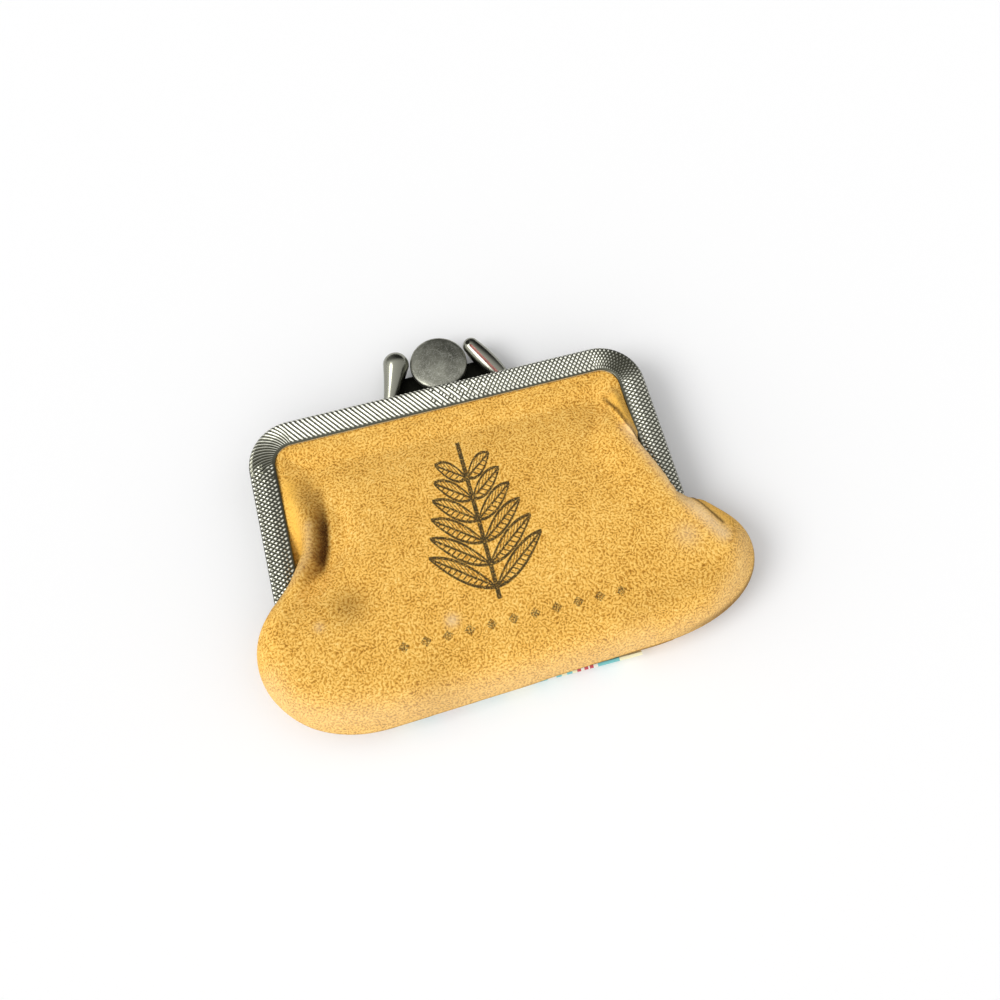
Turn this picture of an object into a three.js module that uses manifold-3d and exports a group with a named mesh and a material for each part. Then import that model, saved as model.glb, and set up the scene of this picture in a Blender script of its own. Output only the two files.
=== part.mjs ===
// Kiss-lock coin purse: two suede panels sewn into a pouch and gripped by a hinged metal frame.
// Millimetres, +Z up. The purse lies on its back: X runs along the top bar of the frame, Y points
// from the bottom of the pouch to the clasp, and Z comes out of the front panel.
// X = 0 is the middle of the frame and Y = 0 the outer edge of its top bar until the last lines,
// which put the origin under the middle of the whole purse.
import * as THREE from "three";
import { mergeVertices } from "three/addons/utils/BufferGeometryUtils.js";
import Module from "manifold-3d";

const wasm = await Module();
wasm.setup();

// Metal frame
const frameWidth = 76; // across the outside of the two arms
const armLength = 33; // top edge down to the ends of the channels
const cornerRadius = 8.5; // outside of the two upper corners
const barWidth = 5; // face of the channel, seen from the front
const sheet = 0.7; // thickness of the frame's metal
const splitGap = 0.3; // between the two halves when the purse is shut
const clearance = 0.3; // between pieces that touch
const crownRise = 0.7; // how far the face of the channel is crowned
const crownFlat = 1.7; // level strip along the top of the crown
const shoulderRun = 1.1; // width of the rounded outer shoulder of the channel
const shoulderRise = 1.3; // height of that shoulder
const lipRun = 0.5; // width of the bevelled inner lip
const lipDrop = 1.15; // from the crown down to the edge of the lip
const faceFall = 0.35; // from the crown down to the start of the lip
const innerWallWidth = 4.2; // wall of each channel that faces the other half
const mitreLength = 5.2; // the channel narrows to its hinge ear over this length
const mitreStay = 0.8; // width of the channel that is left at its end

// Hinge
const hingeReach = 3.6; // hinge axis beyond the ends of the channels
const hingeDrop = armLength + hingeReach; // hinge axis below the top edge
const earRadius = 2.5;
const earTop = 2.95; // ears leave their channels this high above the plane between the halves
const earLap = 4; // how far an ear runs up inside its channel
const rivetRadius = 0.9;
const rivetHeadRadius = 1.7;
const rivetHeadHeight = 0.6;
const rivetCrown = 1; // radius of the flat top of a rivet head
const rivetRim = 0.25; // height of its straight rim

// Clasp
const claspOffset = 1.2; // clasp is this far to the right of the middle
const discDiameter = 11.2;
const discThickness = 2.2;
const discBevel = 0.7;
const discSink = 1.2; // back face of the disc, behind the plane between the halves
const discLift = 1; // lowest point of the disc above the seat of its foot
const footLength = 4.4;
const footThickness = 0.9;
const tabThickness = 0.5; // the foot's tab behind the top wall of the channel
const tenonRadius = 0.6; // riveted ends of the disc's foot and of the prongs
const tenonHeadRadius = 0.95;
const tenonHeadHeight = 0.5;
const seatLevel = 2.15; // tenons stand this far from the plane between the halves
// Each prong leans in towards the disc, and forward, so that the disc snaps in behind the heads.
// Seams are turned by degrees from the front towards the disc.
const leftProng = {
  spread: 11.4, // foot from the middle of the disc
  lean: 3.25,
  rise: 8.3, // foot up to the middle of the head
  reach: 2.3,
  footRadius: 1.4,
  bellyRadius: 1.6,
  bellyShare: 0.3, // share of the way up at which the belly is
  headRadius: 2.4,
  seamTurn: 105,
};
const rightProng = {
  spread: 12.4,
  lean: 5.2,
  rise: 8.9,
  reach: 1.8,
  footRadius: 1.4,
  bellyRadius: 2,
  bellyShare: 0.5,
  headRadius: 1.65,
  seamTurn: 18,
};
const prongSeamWidth = 0.35; // slit where the rolled sheet of a prong meets
const prongSeamDepth = 0.7;
const prongEyeRadius = 0.4; // round end of that slit

// Pouch
const leather = 1.1; // thickness of the suede
const cordDiameter = 1.1; // packing cord that wedges the suede in each channel
const tuckInset = 2; // raw edge of the suede, from the outer edge of the frame
const tuckDrop = 28.5; // the packing cords end, and the suede leaves the channels, this far down
const earCrossing = 3.8; // middle of the suede where it passes over a hinge ear
const notchLength = 13; // sides are left unsewn this far below the frame
const rollWidth = 6.2; // the pouch rounds over to its seam in this width
const rollAtArm = 2.2; // and in this width at the end of an arm
const mouthClearance = 0.85; // between the suede and the lip of a channel
const seamGap = 0.4; // between the edges of the two panels
const spineHalf = 15; // the panels are lofted from their edges to this line
const spineDrop = 29;
const bandWidth = 43.2; // woven band on the back
const bandThickness = 0.6;
const bandStart = 10; // upper end of the band, below the top edge
const bandEndAngle = 20; // degrees of the bottom roll left bare below the seam

// Lower edges of the two panels, measured from the middle and the top edge of the frame
const frontCut = {
  reachLeft: 5,
  reachRight: 9.3,
  wideDropLeft: 43.5,
  wideDropRight: 44.2,
  dropLeft: 59.2,
  dropRight: 57.1,
  flatLeft: 24,
  flatRight: 25,
  shoulderPull: 3.2,
  lobePullLeft: 4.6,
  lobePullRight: 7.2,
  sidePull: 8.5,
  hemPull: 11,
};
const backCut = {
  reachLeft: 4.8,
  reachRight: 9.2,
  wideDropLeft: 43.5,
  wideDropRight: 43.5,
  dropLeft: 57.2,
  dropRight: 57.2,
  flatLeft: 24,
  flatRight: 24,
  shoulderPull: 4.4,
  lobePullLeft: 5.6,
  lobePullRight: 7.2,
  sidePull: 8,
  hemPull: 11,
};

// Form of the front panel above the plane between the halves
const crownUpper = 5.2; // under the top bar
const crownLower = 6.9; // in the lower half
const crownFrom = 12; // the swell starts and ends this far below the top edge
const crownTo = 36;
const upperRun = 13; // the suede rises from the channel to the crown in this width
const foldLevel = 6.6; // folds that roll out over the arms
const foldCrest = 7.3;
const foldStrip = 0.9; // bare strip between the channel and the wall of a fold
const foldTip = 0.6; // how far the overhanging edge of a fold stands out of its wall
const foldRun = 1.9; // from that edge to the crest
const foldBend = 0.3; // half of the bend at the foot of a fold
const stepFade = 0.45; // share of the way to the middle in which a fold dies away
// Distance from the inner edge of the arm to the foot of its fold, as [drop, inset]
const rightFoldFoot = [
  [11, 3.2],
  [33.5, -3.6],
];
const leftFoldFoot = [
  [12, 4.2],
  [26, 2.4],
  [33.5, -3.6],
];
const rightFoldRange = [9, 20]; // the fold grows from nothing to full between these drops
const leftFoldRange = [12, 25];
// Crest of the left fold, as [inset from the arm's inner edge, drop]
const leftCrestLine = [
  [6.2, 13],
  [5.6, 20],
  [4.4, 26],
  [0.8, 30],
  [-3, 33.6],
  [-6, 37],
];
const crestGrow = 0.45; // shares of that line: the fold grows up to the first,
const crestFade = 0.62; // dies away from the second
const crestFadeRun = 0.3; // and takes this long to do so
const ridgeHeight = 0.9;
const ridgeHalf = 1.9;
const hollowDepth = 2.6; // hollow along the inner side of the left fold
const hollowOffset = 3.6;
const hollowHalf = 2.1;
const dimpleDepth = 0.9; // shallow dip below the left fold
const dimple = [7.5, 36.5];
const dimpleHalf = 4;

// Levels in one channel, from the plane between the halves outwards
const innerFace = splitGap / 2;
const cordLevel = innerFace + sheet + clearance + cordDiameter / 2;
const tuckLevel = cordLevel + cordDiameter / 2 + clearance + leather / 2;
const halfDepth = tuckLevel + leather / 2 + clearance + sheet + crownRise;
const webTop = halfDepth - shoulderRise;
const midZ = halfDepth; // the crown of the back half lies on the table
const lipSlant = Math.hypot(lipRun, lipDrop - faceFall);
const lipInset = barWidth - (sheet * (lipDrop - faceFall)) / lipSlant; // inner corner of the lip
const lipLevel = halfDepth - lipDrop - (sheet * lipRun) / lipSlant;
const mouthLevel = lipLevel - mouthClearance - leather / 2; // middle of the suede under the lip
const halfWidth = frameWidth / 2;
const innerEdge = halfWidth - barWidth;
const earInset = sheet + clearance; // back ears lie inside the front ears
const backLevel = halfDepth - bandThickness - clearance - leather / 2;
const discRadius = discDiameter / 2;

const arcSteps = 7;
const radians = THREE.MathUtils.degToRad;

function smooth(t) {
  return THREE.MathUtils.smoothstep(t, 0, 1);
}

// Value at position t of a line through [t, value] pairs, level beyond its ends
function along(pairs, t) {
  if (t <= pairs[0][0]) return pairs[0][1];
  for (let i = 1; i < pairs.length; i++) {
    const [t0, v0] = pairs[i - 1];
    const [t1, v1] = pairs[i];
    if (t <= t1) return v0 + ((v1 - v0) * (t - t0)) / (t1 - t0);
  }
  return pairs[pairs.length - 1][1];
}

// Closed geometry from points and triangles, turned to face outwards
function closedGeometry(points, triangles) {
  let volume = 0;
  for (const [a, b, c] of triangles) {
    volume += points[a].dot(points[b].clone().cross(points[c]));
  }
  const geometry = new THREE.BufferGeometry().setFromPoints(points);
  geometry.setIndex(triangles.flatMap(([a, b, c]) => (volume < 0 ? [a, c, b] : [a, b, c])));
  return geometry;
}

// Joining and cutting of closed geometries
function toSolid(geometry) {
  const bare = new THREE.BufferGeometry();
  bare.setAttribute("position", geometry.getAttribute("position"));
  if (geometry.index) bare.setIndex(geometry.index);
  const merged = mergeVertices(bare, 1e-4);
  return new wasm.Manifold(
    new wasm.Mesh({
      numProp: 3,
      vertProperties: new Float32Array(merged.getAttribute("position").array),
      triVerts: new Uint32Array(merged.index.array),
    }),
  );
}

function toGeometry(solid) {
  const mesh = solid.getMesh();
  const geometry = new THREE.BufferGeometry();
  geometry.setAttribute("position", new THREE.BufferAttribute(mesh.vertProperties, 3));
  geometry.setIndex(new THREE.BufferAttribute(mesh.triVerts, 1));
  return geometry;
}

function joined(...geometries) {
  return toGeometry(geometries.map(toSolid).reduce((a, b) => a.add(b)));
}

function cut(geometry, ...tools) {
  return toGeometry(tools.map(toSolid).reduce((a, b) => a.subtract(b), toSolid(geometry)));
}

// The same piece on the other side of the plane between the halves
function mirroredToBack(geometry) {
  const p = geometry.getAttribute("position");
  const points = [];
  for (let i = 0; i < p.count; i++) {
    points.push(new THREE.Vector3(p.getX(i), p.getY(i), 2 * midZ - p.getZ(i)));
  }
  const triangles = [];
  for (let i = 0; i < geometry.index.count; i += 3) {
    triangles.push([0, 1, 2].map((k) => geometry.index.getX(i + k)));
  }
  return closedGeometry(points, triangles);
}

// Outer edge of the frame, moved inwards: up the left arm, along the top bar, down the right arm
function framePath(inset, endDrop) {
  const side = halfWidth - inset;
  const bend = halfWidth - cornerRadius;
  const radius = cornerRadius - inset;
  const path = new THREE.Path();
  path.moveTo(-side, -endDrop);
  path.lineTo(-side, -cornerRadius);
  path.absarc(-bend, -cornerRadius, radius, Math.PI, Math.PI / 2, true);
  path.lineTo(bend, -inset);
  path.absarc(bend, -cornerRadius, radius, Math.PI / 2, 0, true);
  path.lineTo(side, -endDrop);
  return path;
}

// A closed section of (inset, level) points carried round the frame
function sweptSection(outline, endDrop) {
  const section = THREE.ShapeUtils.isClockWise(outline) ? outline.toReversed() : outline;
  const stations = [];
  const curves = framePath(0, endDrop).curves.filter((curve) => curve.getLength() > clearance);
  for (const curve of curves) {
    const steps = curve.isEllipseCurve ? arcSteps : 1;
    for (let i = stations.length ? 1 : 0; i <= steps; i++) {
      stations.push([curve.getPointAt(i / steps), curve.getTangentAt(i / steps)]);
    }
  }
  const points = stations.flatMap(([p, t]) =>
    section.map((s) => new THREE.Vector3(p.x + t.y * s.x, p.y - t.x * s.x, midZ + s.y)),
  );
  const n = section.length;
  const last = points.length - n;
  const triangles = [];
  for (let i = 0; i < last; i++) {
    const next = i - (i % n) + ((i + 1) % n);
    triangles.push([i, next, next + n], [i, next + n, i + n]);
  }
  for (const [a, b, c] of THREE.ShapeUtils.triangulateShape(section, [])) {
    triangles.push([c, b, a], [last + a, last + b, last + c]);
  }
  return closedGeometry(points, triangles);
}

// Frame halves: sheet metal folded to a channel that opens inwards
function channelSection() {
  const face = [
    [innerWallWidth, innerFace],
    [0, innerFace],
  ];
  for (let i = 0; i <= 4; i++) {
    const a = (i / 4) * (Math.PI / 2);
    face.push([shoulderRun * (1 - Math.cos(a)), webTop + shoulderRise * Math.sin(a)]);
  }
  face.push([shoulderRun + crownFlat, halfDepth]);
  face.push([barWidth - lipRun, halfDepth - faceFall]);
  face.push([barWidth, halfDepth - lipDrop]);
  const outer = face.map(([u, h]) => new THREE.Vector2(u, h));
  const across = outer.slice(1).map((p, i) => {
    const d = p.clone().sub(outer[i]).normalize();
    return new THREE.Vector2(d.y, -d.x);
  });
  const inner = outer.map((p, i) => {
    const a = across[Math.max(i - 1, 0)];
    const b = across[Math.min(i, across.length - 1)];
    const middle = a.clone().add(b).normalize();
    return p.clone().addScaledVector(middle, sheet / middle.dot(a));
  });
  return [...outer, ...inner.reverse()];
}

// A shape drawn in (Y, level) and given a thickness along X
function acrossX(shape, x, thickness) {
  const plate = new THREE.ExtrudeGeometry(shape, {
    depth: thickness,
    bevelEnabled: false,
    curveSegments: 10,
  });
  const turn = new THREE.Matrix4().makeBasis(
    new THREE.Vector3(0, 1, 0),
    new THREE.Vector3(0, 0, 1),
    new THREE.Vector3(1, 0, 0),
  );
  return plate.applyMatrix4(turn).translate(x, 0, midZ);
}

function pinAlongY(radius, x, level, from, to, sides = 20) {
  const pin = new THREE.CylinderGeometry(radius, radius, to - from, sides);
  return pin.translate(x, (from + to) / 2, midZ + level);
}

function hingeEar(side, inset) {
  const shape = new THREE.Shape();
  shape.moveTo(earLap - armLength, innerFace);
  shape.lineTo(earLap - armLength, earTop - clearance);
  shape.lineTo(-armLength, earTop);
  shape.absarc(-hingeDrop, 0, earRadius, Math.PI / 2, 2 * Math.PI, false);
  shape.lineTo(-armLength, innerFace);
  const hole = new THREE.Path();
  hole.absarc(-hingeDrop, 0, rivetRadius + clearance, 0, 2 * Math.PI, true);
  shape.holes.push(hole);
  const outside = halfWidth - inset;
  return acrossX(shape, side > 0 ? outside - sheet : -outside, sheet);
}

// Fills the step between the channel wall and an ear that lies inside it
function earJoggle(side, inset) {
  const wall = halfWidth - sheet / 2;
  const depth = inset + sheet / 2;
  const height = earTop - clearance - innerFace;
  const block = new THREE.BoxGeometry(depth, earLap, height);
  const x = side * (wall - depth / 2);
  return block.translate(x, earLap / 2 - armLength, midZ + innerFace + height / 2);
}

function mitreWedge(side) {
  const upper = new THREE.Vector2(innerEdge, mitreLength - armLength);
  const lower = new THREE.Vector2(halfWidth - mitreStay, -armLength);
  const slope = lower.clone().sub(upper);
  const a = upper.clone().addScaledVector(slope, -0.5);
  const b = lower.clone().addScaledVector(slope, 0.5);
  const shape = new THREE.Shape();
  shape.moveTo(side * a.x, a.y);
  shape.lineTo(side * b.x, b.y);
  shape.lineTo(side * a.x, b.y);
  const wedge = new THREE.ExtrudeGeometry(shape, { depth: 2 * halfDepth, bevelEnabled: false });
  return wedge.translate(0, 0, midZ - halfDepth / 2);
}

// One half with its ears, and holes in its top wall for the tenons at the given places along X
function frameHalf(inset, tenons) {
  const channel = sweptSection(channelSection(), armLength);
  const narrowed = cut(channel, mitreWedge(1), mitreWedge(-1));
  const pieces = [narrowed, hingeEar(1, inset), hingeEar(-1, inset)];
  if (inset > 0) pieces.push(earJoggle(1, inset), earJoggle(-1, inset));
  const holes = tenons.map((x) =>
    pinAlongY(tenonRadius + clearance, x, seatLevel, -2 * sheet, sheet),
  );
  return cut(joined(...pieces), ...holes);
}

// Hinge rivet along X, headed on both sides of the two ears
function hingeRivet(side) {
  const outer = halfWidth + clearance;
  const inner = halfWidth - earInset - sheet - clearance;
  const profile = [
    [0, inner - rivetHeadHeight],
    [rivetCrown, inner - rivetHeadHeight],
    [rivetHeadRadius, inner - rivetRim],
    [rivetHeadRadius, inner],
    [rivetRadius, inner],
    [rivetRadius, outer],
    [rivetHeadRadius, outer],
    [rivetHeadRadius, outer + rivetRim],
    [rivetCrown, outer + rivetHeadHeight],
    [0, outer + rivetHeadHeight],
  ].map(([r, x]) => new THREE.Vector2(r, x));
  const turned = new THREE.LatheGeometry(profile, 16).rotateZ((-side * Math.PI) / 2);
  return turned.translate(0, -hingeDrop, midZ);
}

// Packing cord pressed into a channel behind the suede
function packingCord() {
  const sides = 8;
  const section = Array.from({ length: sides }, (_, i) => {
    const a = ((i + 0.5) / sides) * 2 * Math.PI;
    const radius = cordDiameter / 2;
    return new THREE.Vector2(
      tuckInset + radius + radius * Math.cos(a),
      cordLevel + radius * Math.sin(a),
    );
  });
  return sweptSection(section, tuckDrop);
}

// A riveted end that passes through the top wall of a channel
function tenon(x) {
  const neck = clearance + tabThickness / 2;
  const inside = -sheet - clearance;
  return joined(
    pinAlongY(tenonRadius, x, seatLevel, inside - tenonHeadHeight / 2, neck),
    pinAlongY(tenonHeadRadius, x, seatLevel, inside - tenonHeadHeight, inside),
  );
}

// Disc of the clasp: its foot is bent up to a tab that is riveted to the front half
function claspDisc() {
  const profile = [
    [0, 0],
    [discRadius - discBevel / 2, 0],
    [discRadius, discBevel / 2],
    [discRadius, discThickness - discBevel],
    [discRadius - discBevel, discThickness],
    [0, discThickness],
  ].map(([r, z]) => new THREE.Vector2(r, z));
  const disc = new THREE.LatheGeometry(profile, 48).rotateX(Math.PI / 2);
  disc.translate(claspOffset, clearance + discLift + discRadius, midZ - discSink);
  const back = midZ - discSink + discBevel;
  const standDepth = midZ + seatLevel + tenonHeadRadius - back;
  const stand = new THREE.BoxGeometry(footLength, tabThickness, standDepth);
  stand.translate(claspOffset, clearance + tabThickness / 2, back + standDepth / 2);
  const footHeight = discLift + footThickness;
  const foot = new THREE.BoxGeometry(footLength, footHeight, footThickness);
  foot.translate(claspOffset, clearance + footHeight / 2, back + footThickness / 2);
  return joined(disc, stand, foot, tenon(claspOffset));
}

// Prong of the clasp: sheet rolled to a hollow-looking teardrop, leaning in towards the disc
function claspProng(side, prong) {
  const { footRadius, headRadius } = prong;
  const footX = claspOffset + side * prong.spread;
  const axis = new THREE.Vector3(-side * prong.lean, prong.rise, prong.reach);
  const length = axis.length();
  const profile = [
    [0, -2 * footRadius],
    [footRadius, -2 * footRadius],
    [footRadius, 0],
    [prong.bellyRadius, length * prong.bellyShare],
  ];
  for (let i = 0; i <= arcSteps; i++) {
    const a = (i / arcSteps) * (Math.PI / 2);
    profile.push([headRadius * Math.cos(a), length + headRadius * Math.sin(a)]);
  }
  profile[profile.length - 1][0] = 0;
  const outline = profile.map(([r, y]) => new THREE.Vector2(r, y));
  const body = new THREE.LatheGeometry(outline, 24);
  const seam = new THREE.BoxGeometry(prongSeamWidth, length, 2 * prongSeamDepth);
  seam.translate(0, length / 2, headRadius);
  const eye = new THREE.CylinderGeometry(prongEyeRadius, prongEyeRadius, 2 * prongSeamDepth, 14);
  eye.rotateX(Math.PI / 2).translate(0, length, headRadius);
  const lean = new THREE.Quaternion().setFromUnitVectors(
    new THREE.Vector3(0, 1, 0),
    axis.clone().normalize(),
  );
  const place = (g, turn) =>
    g.rotateY(turn).applyQuaternion(lean).translate(footX, clearance, midZ - seatLevel);
  const turn = -side * radians(prong.seamTurn);
  const below = new THREE.BoxGeometry(4 * prong.spread, 8 * sheet, 4 * halfDepth);
  below.translate(footX, clearance - 4 * sheet, midZ);
  const rolled = cut(place(body, 0), place(seam, turn), place(eye, turn), below);
  return joined(rolled, mirroredToBack(tenon(footX)));
}

// Lower edge of a panel, from the end of the right arm round the pouch to the end of the left arm
function lowerEdge(shape) {
  const exitX = halfWidth - tuckInset;
  const exitY = -(armLength + 2 * clearance);
  const right = halfWidth + shape.reachRight;
  const left = -(halfWidth + shape.reachLeft);
  const path = new THREE.Path();
  path.moveTo(exitX, exitY);
  path.bezierCurveTo(
    exitX + shape.shoulderPull,
    exitY - shape.shoulderPull * 0.6,
    right,
    shape.lobePullRight - shape.wideDropRight,
    right,
    -shape.wideDropRight,
  );
  path.bezierCurveTo(
    right,
    -shape.wideDropRight - shape.sidePull,
    shape.flatRight + shape.hemPull,
    -shape.dropRight,
    shape.flatRight,
    -shape.dropRight,
  );
  path.lineTo(-shape.flatLeft, -shape.dropLeft);
  path.bezierCurveTo(
    -shape.flatLeft - shape.hemPull,
    -shape.dropLeft,
    left,
    -shape.wideDropLeft - shape.sidePull,
    left,
    -shape.wideDropLeft,
  );
  path.bezierCurveTo(
    left,
    shape.lobePullLeft - shape.wideDropLeft,
    -exitX - shape.shoulderPull,
    exitY - shape.shoulderPull * 0.6,
    -exitX,
    exitY,
  );
  return path;
}

// Level of a panel's lower edge, and width of its roll, at a distance along it from the arm's end
function edgeAt(distance) {
  const fall = smooth((distance - earRadius) / (notchLength - earRadius));
  return {
    edge: earCrossing + (seamGap / 2 - earCrossing) * fall,
    roll: rollAtArm + (rollWidth - rollAtArm) * smooth(distance / notchLength),
  };
}

// Signed distance from the crest line of the left fold, and how far along the line the point is
const leftCrest = new THREE.SplineCurve(
  leftCrestLine.map(([inset, drop]) => new THREE.Vector2(inset - innerEdge, -drop)),
).getPoints(48);

function toLeftCrest(x, y) {
  let best = { distance: Infinity };
  leftCrest.slice(1).forEach((p, i) => {
    const from = leftCrest[i];
    const d = Math.hypot(x - p.x, y - p.y);
    if (d < Math.abs(best.distance)) {
      const cross = (p.x - from.x) * (y - from.y) - (p.y - from.y) * (x - from.x);
      best = { distance: cross > 0 ? d : -d, share: (i + 1) / (leftCrest.length - 1) };
    }
  });
  return best;
}

// Level of the front panel away from its edges
function frontLevel(x, y) {
  const swell = smooth((-y - crownFrom) / (crownTo - crownFrom));
  const { distance, share } = toLeftCrest(x, y);
  const fade = smooth(share / crestGrow) * (1 - smooth((share - crestFade) / crestFadeRun));
  const ridge = ridgeHeight * fade * Math.exp(-((distance / ridgeHalf) ** 2));
  const hollow = hollowDepth * fade * Math.exp(-(((distance - hollowOffset) / hollowHalf) ** 2));
  const fromDimple = Math.hypot(x - (dimple[0] - innerEdge), y + dimple[1]);
  const dip = dimpleDepth * Math.exp(-((fromDimple / dimpleHalf) ** 2));
  return crownUpper + (crownLower - crownUpper) * swell + ridge - hollow - dip;
}

// Rings of a panel's edge inside the frame, as [distance inwards, level]
function tuckedRings(place, levelAt) {
  const mouth = barWidth - tuckInset;
  const wall = mouth + Math.max(place.foot, foldStrip);
  const tip = wall + foldTip + Math.min(place.foot - foldStrip, 0);
  const folded = [
    [wall - foldBend, mouthLevel + foldBend],
    [wall + foldBend, foldLevel - foldTip],
    [tip, foldLevel],
    [tip + foldRun, foldCrest],
  ];
  const rings = [
    [0, tuckLevel],
    [cordDiameter, tuckLevel],
    [lipInset - tuckInset, mouthLevel],
  ];
  folded.forEach(([d, level], i) => {
    const plain = mouth + ((i + 1) * (cornerRadius - barWidth)) / (folded.length + 1);
    const [x, y] = [place.x + place.nx * plain, place.y + place.ny * plain];
    const plainLevel = levelAt(x, y);
    rings.push([
      plain + (d - plain) * place.fold,
      plainLevel + (level - plainLevel) * place.fold,
    ]);
  });
  return rings;
}

// Suede beside an arm: how free it is of the channel, how much of a fold stands there, and the
// place of the fold's foot
function foldAt(x, y) {
  const range = x > 0 ? rightFoldRange : leftFoldRange;
  const line = x > 0 ? rightFoldFoot : leftFoldFoot;
  const fold = smooth((-y - range[0]) / (range[1] - range[0]));
  return { free: fold, fold, foot: along(line, -y) };
}

// On the back it has no fold, and comes free only towards the end of the arm
function plainAt(x, y) {
  return { free: smooth((-y - armLength + upperRun) / upperRun), fold: 0, foot: 0 };
}

// Levels of a panel inside its edges: it climbs slowly from the channels, and at once behind a fold
function heldLevels(freeLevel, sideAt) {
  return (x, y) => {
    const top = smooth((-y - barWidth) / upperRun);
    const sides = [-1, 1].map((side) => {
      const climb = smooth((innerEdge - side * x) / upperRun);
      return climb + (1 - climb) * sideAt(side, y).free;
    });
    return mouthLevel + (freeLevel(x, y) - mouthLevel) * top * sides[0] * sides[1];
  };
}

// Rings of a panel's lower edge, rounding over from the seam
function rolledRings(place, levelAt) {
  const count = 7;
  const full = levelAt(place.x + place.nx * place.roll, place.y + place.ny * place.roll);
  return Array.from({ length: count }, (_, k) => {
    const a = (k / (count - 1)) * (Math.PI / 2);
    return [
      place.roll * (1 - Math.cos(a)),
      place.edge + (full - place.edge) * Math.sin(a),
    ];
  });
}

// A suede panel: middle surface lofted from its edges to the spine line, then given its thickness
function suedePanel(shape, freeLevel, sideAt, steps, innerShares) {
  const levelAt = heldLevels(freeLevel, sideAt);
  const tucked = framePath(tuckInset, tuckDrop + clearance);
  const lower = lowerEdge(shape);
  const lowerLength = lower.getLength();
  const places = [];
  const addPlaces = (path, more) => {
    for (let i = 0; i <= steps; i++) {
      const p = path.getPointAt(i / steps);
      const t = path.getTangentAt(i / steps);
      places.push({ x: p.x, y: p.y, nx: t.y, ny: -t.x, ...more(p, i / steps) });
    }
  };
  addPlaces(tucked, (p) => ({ edge: null, ...sideAt(p.x, p.y) }));
  addPlaces(lower, (p, share) => edgeAt(Math.min(share, 1 - share) * lowerLength));
  const middle = places.map((place) => {
    const rings =
      place.edge === null ? tuckedRings(place, levelAt) : rolledRings(place, levelAt);
    const column = rings.map(([d, level]) => [
      place.x + place.nx * d,
      place.y + place.ny * d,
      level,
    ]);
    const [edgeX, edgeY, edgeTop] = column[column.length - 1];
    const step = edgeTop - levelAt(edgeX, edgeY);
    const spineX = THREE.MathUtils.clamp(edgeX / 2, -spineHalf, spineHalf);
    for (const share of innerShares) {
      const x = edgeX + (spineX - edgeX) * share;
      const y = edgeY + (-spineDrop - edgeY) * share;
      const carried = step * (1 - smooth(share / stepFade));
      column.push([x, y, levelAt(x, y) + carried]);
    }
    return column.map(([x, y, level]) => new THREE.Vector3(x, y, midZ + level));
  });
  return thickened(middle, new THREE.Vector3(0, -spineDrop, midZ + levelAt(0, -spineDrop)));
}

// Closed shell of the leather's thickness round a middle surface: columns of points that run in
// from the edge, and a centre where the panel is level
function thickened(columns, centre) {
  const count = columns.length;
  const rings = columns[0].length;
  const at = (j, k) => columns[(j + count) % count][THREE.MathUtils.clamp(k, 0, rings - 1)];
  const up = new THREE.Vector3(0, 0, 1);
  const points = [];
  for (const side of [1, -1]) {
    for (let j = 0; j < count; j++) {
      for (let k = 0; k < rings; k++) {
        const run = at(j + 1, k).clone().sub(at(j - 1, k));
        const inwards = at(j, k + 1).clone().sub(at(j, k - 1));
        const normal = k < rings - 1 ? inwards.cross(run).normalize() : up;
        points.push(at(j, k).clone().addScaledVector(normal, (side * leather) / 2));
      }
    }
  }
  const index = (side, j, k) => side * count * rings + (j % count) * rings + k;
  const triangles = [];
  for (let j = 0; j < count; j++) {
    for (let k = 0; k < rings - 1; k++) {
      const quad = [
        [j, k],
        [j, k + 1],
        [j + 1, k + 1],
        [j + 1, k],
      ];
      const [a, b, c, d] = quad.map(([jj, kk]) => index(0, jj, kk));
      const [e, f, g, h] = quad.map(([jj, kk]) => index(1, jj, kk));
      triangles.push([a, b, c], [a, c, d], [e, g, f], [e, h, g]);
    }
    const [a, b] = [index(0, j, 0), index(0, j + 1, 0)];
    const [e, f] = [index(1, j, 0), index(1, j + 1, 0)];
    triangles.push([a, b, f], [a, f, e]);
  }
  const top = points.push(centre.clone().setZ(centre.z + leather / 2)) - 1;
  const under = points.push(centre.clone().setZ(centre.z - leather / 2)) - 1;
  for (let j = 0; j < count; j++) {
    triangles.push([top, index(0, j + 1, rings - 1), index(0, j, rings - 1)]);
    triangles.push([under, index(1, j, rings - 1), index(1, j + 1, rings - 1)]);
  }
  return closedGeometry(points, triangles);
}

// Woven band sewn down the back: level on the table, then up round the bottom of the pouch
function wovenBand() {
  const steps = 8;
  const near = leather / 2 + clearance;
  const drop = backCut.dropLeft;
  const rise = backLevel - seamGap / 2;
  const sideAt = (offset) =>
    Array.from({ length: steps + 1 }, (_, i) => {
      const a = Math.PI / 2 - (i / steps) * (Math.PI / 2 - radians(bandEndAngle));
      const normal = new THREE.Vector2(-Math.cos(a) / rollWidth, Math.sin(a) / rise).normalize();
      return new THREE.Vector2(
        -drop + rollWidth * (1 - Math.cos(a)) + normal.x * offset,
        -(seamGap / 2 + rise * Math.sin(a) + normal.y * offset),
      );
    });
  const inner = sideAt(near);
  const outer = sideAt(near + bandThickness);
  const shape = new THREE.Shape([
    new THREE.Vector2(-bandStart, inner[0].y),
    ...inner,
    ...outer.reverse(),
    new THREE.Vector2(-bandStart, outer[outer.length - 1].y),
  ]);
  return acrossX(shape, -bandWidth / 2, bandWidth);
}

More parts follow.
